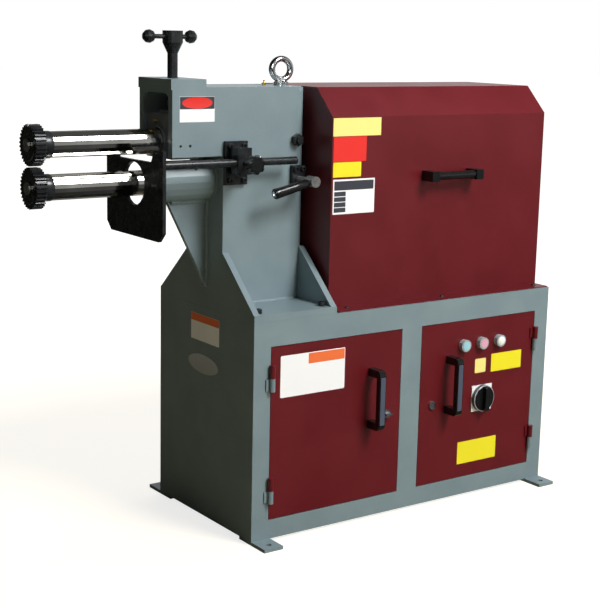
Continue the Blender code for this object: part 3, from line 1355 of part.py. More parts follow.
def make_guide_rod():
    start = -GAUGE_PLACE - GAUGE_THICKNESS
    end = ROD_END - start
    shoulder = GAUGE_THICKNESS + FIT
    profile = [
        (0, end),
        (ROD_RADIUS, end),
        (ROD_RADIUS, shoulder),
        (ROD_SPIGOT_RADIUS, shoulder),
        (ROD_SPIGOT_RADIUS, 0),
        (0, 0),
    ]
    piece(turned("X", (start, ROD_Y, ROD_Z), profile, sides=20), "guide_rod", "black_steel", GAUGE_AXIS)


def make_clamp_bracket():
    back = -HALF_DEPTH - FIT
    front = back - CLAMP_PLATE_THICKNESS
    low = LOWER_AXIS - CLAMP_PLATE_BELOW
    high = LOWER_AXIS + CLAMP_PLATE_ABOVE
    bracket = plate("XZ", front, back, rectangle((0, low), (CLAMP_PLATE_LENGTH, high)))
    half = CLAMP_BLOCK_LENGTH / 2
    block_low = (CLAMP_BLOCK_PLACE - half, -HALF_DEPTH - CLAMP_BLOCK_OUT, LOWER_AXIS + CLAMP_BLOCK_BELOW)
    block_high = (CLAMP_BLOCK_PLACE + half, (front + back) / 2, LOWER_AXIS + CLAMP_BLOCK_ABOVE)
    join(bracket, box(block_low, block_high))
    reach = half + OVERRUN
    cut(bracket, bores("X", ROD_RADIUS, reach * 2, [(CLAMP_BLOCK_PLACE - reach, ROD_Y, ROD_Z)], 20))
    mouth = (CLAMP_BLOCK_PLACE, block_low[1] - OVERRUN, ROD_Z)
    depth = ROD_Y - mouth[1]
    cut(bracket, bores("Y", STAR_STEM_RADIUS, depth, [mouth], FEW_SIDES))
    cut(bracket, bracket_screw_holes())
    piece(bracket, "clamp_bracket", "black_steel", ROOT)


def make_star_knob():
    points = []
    for step in range(STAR_LOBES * 6):
        angle = math.tau * step / STAR_LOBES / 6
        radius = STAR_RADIUS * (1 - STAR_LOBE_SHARE * (1 - math.cos(STAR_LOBES * angle)))
        points.append((CLAMP_BLOCK_PLACE + radius * math.cos(angle), ROD_Z + radius * math.sin(angle)))
    face = -HALF_DEPTH - STAR_OUT
    knob = plate("XZ", face, face + STAR_THICKNESS, points)
    inner = (CLAMP_BLOCK_PLACE, ROD_Y - ROD_RADIUS - FIT, ROD_Z)
    length = inner[1] - face - STAR_THICKNESS / 2
    join(knob, rods("-Y", STAR_STEM_RADIUS, length, [inner], FEW_SIDES))
    piece(knob, "star_knob", "black_plastic", STAR_AXIS)


def make_lever_bracket():
    back = -HALF_DEPTH - FIT
    half = LEVER_BRACKET_LENGTH / 2
    low = (LEVER_PLACE - half, LOWER_AXIS - LEVER_BRACKET_BELOW)
    high = (LEVER_PLACE + half, LOWER_AXIS + LEVER_BRACKET_ABOVE)
    hole = hole_loop((LEVER_PLACE, LOWER_AXIS), LEVER_SPINDLE_RADIUS, FEW_SIDES)
    bracket = plate("XZ", back - CLAMP_PLATE_THICKNESS, back, rectangle(low, high), hole)
    piece(cut(bracket, bracket_screw_holes()), "lever_bracket", "black_steel", ROOT)


def lever_turn():
    return Matrix.Rotation(-LEVER_DROP_ANGLE, 4, "Y") @ TURNS["-X"]


def make_lever():
    inner_y = -RING_RADIUS - FIT * 3
    face_y = -HALF_DEPTH - LEVER_OUT
    length = inner_y - face_y
    profile = [
        (0, length),
        (LEVER_HUB_RADIUS, length),
        (LEVER_HUB_RADIUS, length - LEVER_HUB_LENGTH),
        (LEVER_SPINDLE_RADIUS, length - LEVER_HUB_LENGTH),
        (LEVER_SPINDLE_RADIUS, 0),
        (0, 0),
    ]
    spindle = turned("-Y", (LEVER_PLACE, inner_y, LOWER_AXIS), profile)
    pin_start = (LEVER_PLACE, inner_y + ECCENTRIC_PIN_LENGTH, LOWER_AXIS + ECCENTRIC_OFFSET)
    join(spindle, rods("-Y", ECCENTRIC_PIN_RADIUS, ECCENTRIC_PIN_LENGTH * 2, [pin_start], FEW_SIDES))
    grip_y = face_y + LEVER_HUB_LENGTH / 2
    centre = Vector((LEVER_PLACE, grip_y, LOWER_AXIS))
    start = GRIP_STEM_START - FIT
    bore = roomy(GRIP_STEM_RADIUS + FIT, FEW_SIDES)
    socket = [(0, GRIP_END), (bore, GRIP_END), (bore, start), (0, start)]
    cut(spindle, turned("-X", centre, socket, sides=FEW_SIDES, turn=lever_turn()))
    piece(spindle, "lever_spindle", "bright_steel", LEVER_AXIS)

    round_end = GRIP_RADIUS / 2
    slim = GRIP_RADIUS * GRIP_TAPER_SHARE
    grip_profile = [
        (0, GRIP_END),
        (round_end, GRIP_END),
        (GRIP_RADIUS, GRIP_END - round_end),
        (slim, GRIP_START),
        (GRIP_STEM_RADIUS, GRIP_START),
        (GRIP_STEM_RADIUS, GRIP_STEM_START),
        (0, GRIP_STEM_START),
    ]
    grip = turned("-X", centre, grip_profile, sides=20, turn=lever_turn())
    piece(grip, "lever_grip", "black_plastic", LEVER_AXIS)


def make_shift_ring():
    near = LEVER_PLACE - RING_WIDTH / 2
    profile = ring_profile(RING_RADIUS, roomy(TAIL_RADIUS + FIT), 0, RING_WIDTH)
    ring = turned("X", (near, 0, LOWER_AXIS), profile, True)
    half = ECCENTRIC_PIN_RADIUS + FIT
    low = (LEVER_PLACE - half, -RING_RADIUS - OVERRUN, LOWER_AXIS - RING_SLOT_HALF_HEIGHT)
    slot = box(low, (LEVER_PLACE + half, RING_SLOT_DEPTH - RING_RADIUS, LOWER_AXIS + RING_SLOT_HALF_HEIGHT))
    piece(cut(ring, slot), "shift_ring", "bronze", SHIFT_AXIS)


def cover_section(inset):
    """The cover's closed outline across its length, moved inwards by inset."""
    front = COVER_FRONT_Y + inset
    back = COVER_BACK_Y - inset
    top = COVER_TOP - inset
    corner = inset * math.tan(math.pi / 8)
    shoulder = COVER_TOP - COVER_SLOPE - corner
    ridge = COVER_FRONT_Y + COVER_SLOPE + corner
    floor = COVER_BOTTOM if inset == 0 else COVER_BOTTOM - OVERRUN
    return [(front, floor), (back, floor), (back, top), (ridge, top), (front, shoulder)]


def make_gear_cover():
    cover = plate("YZ", COVER_PLACE, CABINET_LENGTH, cover_section(0))
    flange_top = COVER_BOTTOM + COVER_SHEET
    low = (COVER_PLACE, COVER_FRONT_Y - COVER_FLANGE, COVER_BOTTOM)
    join(cover, box(low, (CABINET_LENGTH, COVER_BACK_Y + COVER_FLANGE, flange_top)))
    left = COVER_PLACE + COVER_SHEET
    right = CABINET_LENGTH - COVER_SHEET
    cut(cover, plate("YZ", left, right, cover_section(COVER_SHEET)))
    hole_start = (COVER_PLACE - OVERRUN, 0, LOWER_AXIS)
    cut(cover, rods("X", COVER_HOLE_RADIUS, COVER_SHEET + OVERRUN * 2, [hole_start]))
    piece(cover, "gear_cover", "maroon_paint", ROOT)


def make_cover_handle():
    back = COVER_FRONT_Y - FIT
    front = back - COVER_HANDLE_REACH
    middle_z = CABINET_TOP + COVER_HANDLE_HEIGHT
    rise = COVER_HANDLE_LEG_HEIGHT / 2
    left = COVER_HANDLE_PLACE
    right = left + COVER_HANDLE_LENGTH
    leg = COVER_HANDLE_LEG_LENGTH
    bar_y = front + rise
    start = (left + leg / 2, bar_y, middle_z)
    bar = rods("X", COVER_HANDLE_GRIP_RADIUS, COVER_HANDLE_LENGTH - leg, [start], 20)
    for low_x in (left, right - leg):
        join(bar, box((low_x, front, middle_z - rise), (low_x + leg, back, middle_z + rise)))
    piece(bar, "cover_handle", "black_plastic", ROOT)


def sector(inner, outer, middle, width):
    """Part of a ring between two radii, centred on an angle about the lower shaft's axis."""
    centre = (0, LOWER_AXIS)
    points = arc(centre, outer, middle - width / 2, middle + width / 2, 4)
    return points + arc(centre, inner, middle + width / 2, middle - width / 2, 2)


def jaws(near, far, first):
    steps = [first + math.tau * n / JAW_COUNT for n in range(JAW_COUNT)]
    inner = COUPLING_RADIUS * COUPLING_BORE_SHARE
    outer = COUPLING_RADIUS - FIT
    return [plate("YZ", near, far, sector(inner, outer, middle, JAW_ANGLE)) for middle in steps]


def make_driven_hub():
    length = DRIVEN_HUB_LENGTH
    start_x = DRIVEN_HUB_END - length
    profile = [
        (0, length),
        (COUPLING_RADIUS, length),
        (COUPLING_RADIUS, 0),
        (TAIL_RADIUS + FIT, 0),
        (TAIL_RADIUS + FIT, length - COLLAR_WIDTH),
        (0, length - COLLAR_WIDTH),
    ]
    hub = turned("X", (start_x, 0, LOWER_AXIS), profile)
    join(hub, *jaws(DRIVEN_HUB_END - FIT, DRIVEN_HUB_END + JAW_LENGTH, 0))
    piece(hub, "driven_hub", "cast_iron", LOWER_SPIN)


def make_drive_hub():
    length = DRIVE_HUB_LENGTH
    profile = [
        (0, length + DRIVE_SHAFT_LENGTH),
        (DRIVE_SHAFT_RADIUS, length + DRIVE_SHAFT_LENGTH),
        (DRIVE_SHAFT_RADIUS, length),
        (COUPLING_RADIUS, length),
        (COUPLING_RADIUS, 0),
        (0, 0),
    ]
    hub = turned("X", (DRIVE_HUB_X, 0, LOWER_AXIS), profile)
    join(hub, *jaws(DRIVE_HUB_X - JAW_LENGTH, DRIVE_HUB_X + FIT, math.pi / JAW_COUNT))
    piece(hub, "drive_hub", "cast_iron", DRIVE_AXIS)


def make_spider():
    """Elastic star whose legs lie between the two hubs' jaws."""
    points = []
    legs = JAW_COUNT * 2
    core = COUPLING_RADIUS * SPIDER_CORE_SHARE
    for leg in range(legs):
        middle = math.pi / legs + math.tau * leg / legs
        for radius, angle in (
            (core, middle - math.pi / legs),
            (core, middle - SPIDER_LEG_ANGLE),
            (COUPLING_RADIUS, middle - SPIDER_LEG_ANGLE / 2),
            (COUPLING_RADIUS, middle + SPIDER_LEG_ANGLE / 2),
            (core, middle + SPIDER_LEG_ANGLE),
        ):
            points.append((radius * math.cos(angle), LOWER_AXIS + radius * math.sin(angle)))
    near = DRIVEN_HUB_END + SPIDER_SETBACK
    spider = plate("YZ", near, near + SPIDER_THICKNESS, points)
    piece(spider, "coupling_spider", "orange_elastomer", DRIVE_AXIS)


def make_reducer():
    nose = REDUCER_NOSE_LENGTH
    far = nose + REDUCER_LENGTH
    bore = roomy(DRIVE_SHAFT_RADIUS + FIT)
    depth = DRIVE_SHAFT_LENGTH - REDUCER_GAP + FIT
    profile = [
        (0, far),
        (REDUCER_RADIUS, far),
        (REDUCER_RADIUS, nose * 2),
        (REDUCER_NOSE_RADIUS, nose),
        (REDUCER_NOSE_RADIUS, 0),
        (bore, 0),
        (bore, depth),
        (0, depth),
    ]
    reducer = turned("X", (REDUCER_X, 0, LOWER_AXIS), profile)
    half = REDUCER_FOOT_HALF_WIDTH
    low = (REDUCER_X + nose * 2, -half, LOWER_AXIS - REDUCER_FOOT_DROP)
    high = (REDUCER_X + far - FIT, half, LOWER_AXIS - REDUCER_FOOT_DROP + REDUCER_FOOT_THICKNESS)
    piece(join(reducer, box(low, high)), "gear_reducer", "motor_blue_grey", ROOT)


def make_motor():
    cowl = MOTOR_LENGTH - MOTOR_COWL_LENGTH
    shell = MOTOR_RADIUS - MOTOR_COWL_STEP
    round_end = MOTOR_COWL_STEP * 2
    profile = [
        (0, MOTOR_LENGTH),
        (MOTOR_RADIUS - round_end, MOTOR_LENGTH),
        (MOTOR_RADIUS, MOTOR_LENGTH - round_end),
        (MOTOR_RADIUS, cowl),
        (shell, cowl),
        (shell, MOTOR_COWL_STEP * 2),
        (REDUCER_RADIUS, MOTOR_COWL_STEP * 2),
        (REDUCER_RADIUS, 0),
        (0, 0),
    ]
    motor = turned("X", (MOTOR_X, 0, LOWER_AXIS), profile)
    side = TERMINAL_BOX_SIDE
    low = (MOTOR_X + side / 2, -side / 2, LOWER_AXIS + shell / 2)
    high = (MOTOR_X + side * 3 / 2, side / 2, LOWER_AXIS + shell + TERMINAL_BOX_RISE)
    piece(join(motor, box(low, high)), "motor", "motor_blue_grey", ROOT)


def make_stand():
    """Bent plate stand under the reducer, as an upturned U with feet."""
    half = REDUCER_FOOT_HALF_WIDTH
    sheet = STAND_SHEET
    foot = half + STAND_FOOT
    low = CABINET_TOP + FIT
    top = STAND_TOP
    side = [(half - sheet, low), (foot, low), (foot, low + sheet), (half, low + sheet), (half, top)]
    inner = [(-half + sheet, low), (-half + sheet, top - sheet), (half - sheet, top - sheet)]
    mirrored = [(-y, z) for y, z in reversed(side)]
    near = REDUCER_X + REDUCER_NOSE_LENGTH * 2
    far = REDUCER_X + REDUCER_NOSE_LENGTH + REDUCER_LENGTH
    piece(plate("YZ", near, far, side + mirrored + inner[1:]), "reducer_stand", "black_steel", ROOT)


def make_cabinet_group():
    make_cabinet()
    make_left_door()
    make_right_door()
    left_handle_x = LEFT_OPENING + DOOR_WIDTH - HANDLE_INSET
    make_door_handle("left_door_handle", left_handle_x, LEFT_DOOR_AXIS)
    make_door_handle("right_door_handle", RIGHT_OPENING + HANDLE_INSET, RIGHT_DOOR_AXIS)
    make_lock("left_lock", LEFT_LOCK_X, LEFT_LOCK_AXIS, True)
    make_lock("right_lock", RIGHT_LOCK_X, RIGHT_LOCK_AXIS, False)


def make_control_group():
    for name, x in zip(("start_bezel", "stop_bezel", "lamp_bezel"), BUTTON_X):
        make_bezel(name, x)
    make_cap("start_button", BUTTON_X[0], "pale_green_plastic", START_AXIS, 0)
    make_cap("stop_button", BUTTON_X[1], "pale_red_plastic", STOP_AXIS, 0)
    make_cap("indicator_lamp", BUTTON_X[2], "white_lens", RIGHT_DOOR_AXIS, LENS_DOME)
    make_contact_block("start_contact_block", BUTTON_X[0])
    make_contact_block("stop_contact_block", BUTTON_X[1])
    make_isolator_switch()
    make_isolator()
    make_electrics()


def make_frame_group():
    make_frame_weldment()
    make_lower_housing()
    make_lower_bushes()
    make_trunnion_stud("front_trunnion_stud", "-Y", -1)
    make_trunnion_stud("back_trunnion_stud", "Y", 1)
    make_eye_bolt()


def make_shaft_group():
    half_pitch = math.pi / GEAR_TEETH
    make_lower_shaft()
    make_upper_shaft()
    make_die("lower_die", LOWER_AXIS, LOWER_SPIN)
    make_die("upper_die", UPPER_AXIS, UPPER_SPIN)
    make_die_screw("lower_die_screw", LOWER_AXIS, LOWER_SPIN)
    make_die_screw("upper_die_screw", UPPER_AXIS, UPPER_SPIN)
    make_gear("lower_gear", LOWER_AXIS, math.pi / 2, LOWER_SPIN)
    make_gear("upper_gear", UPPER_AXIS, math.pi / 2 + half_pitch, UPPER_SPIN)
    make_bearing_block()
    make_swivel_bush()
    make_screw_retainer()
    make_adjusting_screw()
    make_tommy_bar()
    make_trunnion()


def make_gauge_group():
    make_gauge_plate()
    make_guide_rod()
    make_clamp_bracket()
    make_star_knob()
    make_lever_bracket()
    make_lever()
    make_shift_ring()


def make_drive_group():
    make_gear_cover()
    make_cover_handle()
    make_driven_hub()
    make_drive_hub()
    make_spider()
    make_reducer()
    make_motor()
    make_stand()


make_cabinet_group()
make_control_group()
make_frame_group()
make_shaft_group()
make_gauge_group()
make_drive_group()
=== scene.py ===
"""Dresses a bead roller: enamel, steel and plastic finishes, fasteners, plates and a studio."""

import json
import math

import bpy
from mathutils import Matrix, Vector


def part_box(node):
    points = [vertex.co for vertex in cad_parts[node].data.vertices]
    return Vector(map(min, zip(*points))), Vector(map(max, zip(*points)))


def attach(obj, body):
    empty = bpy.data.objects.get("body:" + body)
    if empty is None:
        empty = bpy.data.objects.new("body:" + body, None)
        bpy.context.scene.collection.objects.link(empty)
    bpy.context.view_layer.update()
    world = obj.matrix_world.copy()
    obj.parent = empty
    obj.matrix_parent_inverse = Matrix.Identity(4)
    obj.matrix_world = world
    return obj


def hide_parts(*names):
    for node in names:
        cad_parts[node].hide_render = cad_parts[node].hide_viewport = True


bl_info = {
    "name": "Bead Roller Dressing",
    "version": (1, 0, 0),
    "blender": (4, 5, 0),
    "location": "View3D > Sidebar > Bead Roller",
    "description": "Finishes, small fasteners, bare plates and a studio for a bead roller",
    "category": "Object",
}

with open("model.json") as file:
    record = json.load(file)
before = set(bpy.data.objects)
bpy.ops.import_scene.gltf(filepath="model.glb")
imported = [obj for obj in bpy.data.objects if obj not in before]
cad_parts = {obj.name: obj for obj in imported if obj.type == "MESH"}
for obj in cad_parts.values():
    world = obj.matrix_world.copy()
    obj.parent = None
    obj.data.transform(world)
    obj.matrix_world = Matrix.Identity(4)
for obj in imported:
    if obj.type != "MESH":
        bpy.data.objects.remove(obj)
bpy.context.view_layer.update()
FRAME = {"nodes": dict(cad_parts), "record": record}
NODES = FRAME["nodes"]

# Faces of the machine that the small pieces sit on, in metres. The outermost ones are read from
# the frame's boxes, and the others are sizes of the solids.
CABINET_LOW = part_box("cabinet")[0]
COVER_LOW, COVER_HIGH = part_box("gear_cover")
LEFT = CABINET_LOW.x
FLOOR = CABINET_LOW.z
GAP_UNDER_COVER = 0.0003
CABINET_TOP = COVER_LOW.z - GAP_UNDER_COVER
BASE_TOP = CABINET_TOP + 0.0163
COLUMN_TOP = CABINET_TOP + 0.505
FLANGE_TOP = CABINET_TOP + 0.0023
CABINET_FRONT = -0.2075
COLUMN_FRONT = -0.073
COVER_FRONT = -0.1575
BRACKET_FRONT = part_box("lever_bracket")[0].y
LOWER_AXIS = (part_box("lower_shaft")[0].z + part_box("lower_shaft")[1].z) / 2

# Ways that a piece can face
UP = (0, 0, 1)
TO_FRONT = (0, -1, 0)
TO_LEFT = (-1, 0, 0)

# Thicknesses and steps that the small pieces share, in metres
FILM = 0.0004  # thickness of a bare film
FIELD = 0.0003  # thickness of a coloured field, and its step out from the film's face
LET_IN = 0.0001  # how deep a film or plate is let into its face
SINK = 0.0002  # how deep a screw or nipple is let into its face
SQUARE = 0.001  # corner radius of a film that looks square-cornered
HAIR = 0.00005  # the tolerance for finding the top of a piece
ALIGNED = 0.9  # the least cosine between two directions that count as one
SMOOTH_BELOW = math.radians(35)
BEVEL_ABOVE = math.radians(40)


def spot(x, y, z):
    """A place from the cabinet's left side, the machine's middle plane and the floor."""
    return Vector((LEFT + x, y, z))


# ---------------------------------------------------------------- materials


def linear(hex_colour):
    """Turns an sRGB hex value into the linear colour that a shader takes."""
    channels = [int(hex_colour[n:n + 2], 16) / 255 for n in (1, 3, 5)]
    return tuple(c / 12.92 if c <= 0.04045 else ((c + 0.055) / 1.055) ** 2.4
                 for c in channels) + (1.0,)


def as_hex(colour):
    """Turns a colour property back into the hex value that the finishes are written with."""
    return "#" + "".join(f"{round(min(max(c, 0), 1) * 255):02X}" for c in colour[:3])


def put(tree, kind, links=None, **settings):
    """Adds a node, sets it up, and gives each named input a value or another node's output."""
    node = tree.nodes.new(kind)
    for name, value in settings.items():
        setattr(node, name, value)
    for socket, value in (links or {}).items():
        if isinstance(value, bpy.types.NodeSocket):
            tree.links.new(value, node.inputs[socket])
        else:
            node.inputs[socket].default_value = value
    return node


def begin(name, base, roughness, metallic=0.0):
    """Starts a material and returns it with its tree, shader and object coordinates."""
    material = bpy.data.materials.new(name)
    material.use_nodes = True
    tree = material.node_tree
    shader = tree.nodes["Principled BSDF"]
    shader.inputs["Base Color"].default_value = linear(base)
    shader.inputs["Roughness"].default_value = roughness
    shader.inputs["Metallic"].default_value = metallic
    material.diffuse_color = linear(base)
    place = put(tree, "ShaderNodeTexCoord").outputs["Object"]
    return material, tree, shader, place


def noise(tree, place, size, detail=2.0):
    """A cloudy value with grains of the given size in metres."""
    return put(tree, "ShaderNodeTexNoise",
               {"Vector": place, "Scale": 1 / size, "Detail": detail}).outputs["Fac"]


def tool_rings(tree, place, scale):
    """A cloudy value drawn out into tool rings, by its scale along each axis in grains a metre."""
    drawn = put(tree, "ShaderNodeMapping", {"Vector": place, "Scale": scale})
    return noise(tree, drawn.outputs["Vector"], 1.0)


def vary(tree, shader, place, dark, light, size):
    """Lets the colour drift between two tones in patches of a size, and returns the patches."""
    patches = noise(tree, place, size, 3.0)
    ramp = put(tree, "ShaderNodeValToRGB", {"Fac": patches})
    for stop, position, tone in zip(ramp.color_ramp.elements, (0.35, 0.65), (dark, light)):
        stop.position = position
        stop.color = linear(tone)
    tree.links.new(ramp.outputs["Color"], shader.inputs["Base Color"])
    return patches


def rough_range(tree, shader, value, low, high):
    """Spreads a texture's value over a range of roughness."""
    spread = put(tree, "ShaderNodeMapRange", {"Value": value, "To Min": low, "To Max": high})
    tree.links.new(spread.outputs["Result"], shader.inputs["Roughness"])


def raise_by(tree, shader, height, depth, strength=1.0):
    """Feeds a height pattern to the shader's normal, with its depth in metres."""
    bump = put(tree, "ShaderNodeBump", {"Height": height, "Distance": depth, "Strength": strength})
    tree.links.new(bump.outputs["Normal"], shader.inputs["Normal"])


def hammered_enamel(settings):
    # Sprayed hammer-finish enamel on steel plate: shallow dimples 3.5 mm apart and a cool
    # grey-green that drifts a little over 90 mm
    material, tree, shader, place = begin("hammered_enamel", "#77888E", 0.36)
    patches = vary(tree, shader, place, "#74858B", "#7A8B90", 0.090)
    dimples = put(tree, "ShaderNodeTexVoronoi",
                  {"Vector": place, "Scale": 1 / 0.0035, "Smoothness": 0.8}, feature="SMOOTH_F1")
    rough_range(tree, shader, patches, 0.30, 0.42)
    raise_by(tree, shader, dimples.outputs["Distance"], 0.0004, settings.hammer_depth)
    return material


def gloss_enamel(name, base, dark, light, roughness):
    # Semi-gloss baked enamel on sheet steel: faint orange peel at 2.5 mm and slow drift over
    # a hand's width
    material, tree, shader, place = begin(name, base, roughness)
    patches = vary(tree, shader, place, dark, light, 0.120)
    rough_range(tree, shader, patches, roughness - 0.05, roughness + 0.05)
    raise_by(tree, shader, noise(tree, place, 0.0025), 0.00012, 0.5)
    return material


def blackened_steel():
    # Hot-blackened steel: nearly black, satin, with a fine machined grain of 0.6 mm
    material, tree, shader, place = begin("blackened_steel", "#242628", 0.26, 0.25)
    patches = vary(tree, shader, place, "#1F2123", "#2A2C2E", 0.030)
    rough_range(tree, shader, patches, 0.20, 0.34)
    raise_by(tree, shader, noise(tree, place, 0.0006), 0.00002, 0.25)
    return material


def ground_steel():
    # Cylindrically ground steel: rings about 0.8 mm apart along the shaft that streak the light
    material, tree, shader, place = begin("ground_steel", "#BDBBB6", 0.10, 1.0)
    smears = vary(tree, shader, place, "#B2B0AA", "#C9C7C2", 0.050)
    rough_range(tree, shader, smears, 0.08, 0.14)
    raise_by(tree, shader, tool_rings(tree, place, (1 / 0.0008, 6.0, 6.0)), 0.00002, 0.30)
    return material


def turned_steel():
    # Turned steel left dull: a mid-grey face with tool rings 0.9 mm apart about the spindle
    material, tree, shader, place = begin("turned_steel", "#8A8A89", 0.34, 0.7)
    smears = vary(tree, shader, place, "#7A7A79", "#9A9A98", 0.006)
    rough_range(tree, shader, smears, 0.26, 0.42)
    raise_by(tree, shader, tool_rings(tree, place, (20.0, 1 / 0.0009, 20.0)), 0.00005, 0.5)
    return material


def turned_bronze():
    # Turned bearing bronze: warm yellow-brown with tool rings 1 mm apart
    material, tree, shader, place = begin("turned_bronze", "#B58B4A", 0.34, 1.0)
    vary(tree, shader, place, "#A57C3E", "#C29A58", 0.020)
    raise_by(tree, shader, tool_rings(tree, place, (1 / 0.001, 8.0, 8.0)), 0.00005, 0.5)
    return material


def brass_fitting():
    # Machined brass: bright yellow with fingermarks a few millimetres wide
    material, tree, shader, place = begin("machined_brass", "#C9A04A", 0.22, 1.0)
    marks = vary(tree, shader, place, "#B98F3C", "#D8B25E", 0.004)
    rough_range(tree, shader, marks, 0.16, 0.34)
    return material


def bright_plating():
    # Zinc or nickel plate over a forging: bright, with slight dulling in patches of 8 mm
    material, tree, shader, place = begin("bright_plating", "#D3D5D6", 0.16, 1.0)
    dull = vary(tree, shader, place, "#BFC2C4", "#E0E1E1", 0.008)
    rough_range(tree, shader, dull, 0.10, 0.28)
    raise_by(tree, shader, noise(tree, place, 0.0015, 1.0), 0.00006, 0.4)
    return material


def sand_casting():
    # Sand-cast iron under a thin grey wash: grit of about 1 mm
    material, tree, shader, place = begin("sand_cast_iron", "#5E6465", 0.62, 0.3)
    vary(tree, shader, place, "#525859", "#6B7172", 0.040)
    raise_by(tree, shader, noise(tree, place, 0.001, 4.0), 0.0003, 0.6)
    return material


def moulded_plastic(name, base, roughness):
    # Injection-moulded plastic: an even colour, sheen that drifts over 25 mm and a spark-eroded
    # grain of 0.8 mm
    material, tree, shader, place = begin(name, base, roughness)
    rough_range(tree, shader, noise(tree, place, 0.025), roughness - 0.06, roughness + 0.08)
    raise_by(tree, shader, noise(tree, place, 0.0008, 1.0), 0.00006, 0.5)
    return material


def cap_plastic(name, base):
    # Translucent polycarbonate cap: soft colour with a little light let 4 mm in, and a polished
    # face with smears of 6 mm
    material, tree, shader, place = begin(name, base, 0.18)
    rough_range(tree, shader, noise(tree, place, 0.006), 0.14, 0.26)
    shader.inputs["Subsurface Weight"].default_value = 0.25
    shader.inputs["Subsurface Scale"].default_value = 0.004
    return material


def printed_film(name, base):
    # Plain vinyl film stuck to the paint: matt-satin, with a ripple of 12 mm where it was rubbed
    material, tree, shader, place = begin(name, base, 0.36)
    ripple = noise(tree, place, 0.012, 1.0)
    rough_range(tree, shader, ripple, 0.30, 0.44)
    raise_by(tree, shader, ripple, 0.0001, 0.4)
    return material


def elastomer():
    # Cast polyurethane spider: orange and dull, with a shade that changes over 10 mm
    material, tree, shader, place = begin("cast_elastomer", "#C8642A", 0.62)
    vary(tree, shader, place, "#B85A24", "#D47034", 0.010)
    return material


def make_finishes(settings):
    """All the finishes, by the name of the record's slot or of the small piece that takes them."""
    doors = as_hex(settings.door_colour)
    return {
        "grey_green_paint": hammered_enamel(settings),
        "maroon_paint": gloss_enamel("maroon_enamel", doors, "#5C1017", "#62131A", 0.34),
        "motor_blue_grey": gloss_enamel("motor_enamel", "#55626A", "#4E5A62", "#5C6A72", 0.45),
        "black_steel": blackened_steel(),
        "bright_steel": ground_steel(),
        "dull_steel": turned_steel(),
        "bronze": turned_bronze(),
        "chrome": bright_plating(),
        "cast_iron": sand_casting(),
        "black_plastic": moulded_plastic("black_moulding", "#141516", 0.19),
        "grey_plastic": moulded_plastic("grey_moulding", "#9DA2A6", 0.45),
        "grey_knob_plastic": moulded_plastic("grey_knob_moulding", "#5C6064", 0.34),
        "slate_plastic": moulded_plastic("slate_moulding", "#4A5262", 0.32),
        "pale_green_plastic": cap_plastic("pale_blue_cap", "#9CC9D2"),
        "pale_red_plastic": cap_plastic("pale_pink_cap", "#D9A3B4"),
        "white_lens": cap_plastic("white_lamp_lens", "#EFF0EA"),
        "orange_elastomer": elastomer(),
        "brass": brass_fitting(),
        "yellow_film": printed_film("yellow_film", "#E9DC22"),
        "pale_yellow_film": printed_film("pale_yellow_film", "#EDE184"),
        "orange_film": printed_film("orange_film", "#E8703A"),
        "red_film": printed_film("red_film", "#DE2A22"),
        "white_film": printed_film("white_film", "#EEEFF1"),
        "ink_film": printed_film("dark_ink", "#3A3B44"),
        "silver_film": printed_film("silver_film", "#A9AEB5"),
    }


# ---------------------------------------------------------------- modelling


def start_clean():
    """Leaves object mode with nothing selected."""
    if bpy.context.object and bpy.context.object.mode != "OBJECT":
        bpy.ops.object.mode_set(mode="OBJECT")
    bpy.ops.object.select_all(action="DESELECT")


def pick(obj):
    """Makes a piece the active and only selected one, in object mode."""
    start_clean()
    obj.select_set(True)
    bpy.context.view_layer.objects.active = obj


def settle(obj):
    """Moves a finished piece's place, turn and size into its mesh."""
    pick(obj)
    bpy.ops.object.transform_apply(location=True, rotation=True, scale=True)


def give(obj, finish, body, smooth=True):
    """Gives a piece its finish, lets it ride on a body and shades its rounds."""
    obj.data.materials.clear()
    obj.data.materials.append(FINISHES[finish])
    if smooth:
        pick(obj)
        bpy.ops.object.shade_smooth_by_angle(angle=SMOOTH_BELOW)
    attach(obj, body)
    return obj


def finish_modifiers(obj):
    """Applies the piece's modifiers in order."""
    pick(obj)
    for modifier in list(obj.modifiers):
        bpy.ops.object.modifier_apply(modifier=modifier.name)


def rounded(obj, width, segments=2):
    """Rounds the sharp edges of a piece."""
    bevel = obj.modifiers.new("rounded_edges", "BEVEL")
    bevel.width = width
    bevel.segments = segments
    bevel.limit_method = "ANGLE"
    bevel.angle_limit = BEVEL_ABOVE
    finish_modifiers(obj)


def cut_from(obj, cutter):
    """Cuts a piece with another one and removes the cutter."""
    cut = obj.modifiers.new("cut", "BOOLEAN")
    cut.object = cutter
    cut.operation = "DIFFERENCE"
    finish_modifiers(obj)
    bpy.data.objects.remove(cutter)


def joined(main, others):
    """Joins pieces into the first one, each with its place worked into its mesh."""
    for piece in (main, *others):
        settle(piece)
    start_clean()
    for piece in (main, *others):
        piece.select_set(True)
    bpy.context.view_layer.objects.active = main
    bpy.ops.object.join()
    return main


def select_parts(obj, kind, wanted):
    """Selects the vertices, edges or faces that the test picks, and leaves edit mode on."""
    pick(obj)
    bpy.ops.object.mode_set(mode="EDIT")
    bpy.ops.mesh.select_mode(type=kind)
    bpy.ops.mesh.select_all(action="DESELECT")
    bpy.ops.object.mode_set(mode="OBJECT")
    mesh = obj.data
    for part in {"VERT": mesh.vertices, "EDGE": mesh.edges, "FACE": mesh.polygons}[kind]:
        part.select = wanted(part)
    bpy.ops.object.mode_set(mode="EDIT")


def select_top(obj):
    """Selects the faces that look straight up at the top of a piece, and leaves edit mode on."""
    top = max(v.co.z for v in obj.data.vertices) - HAIR
    select_parts(obj, "FACE", lambda face: face.normal.z > ALIGNED and face.center.z > top)


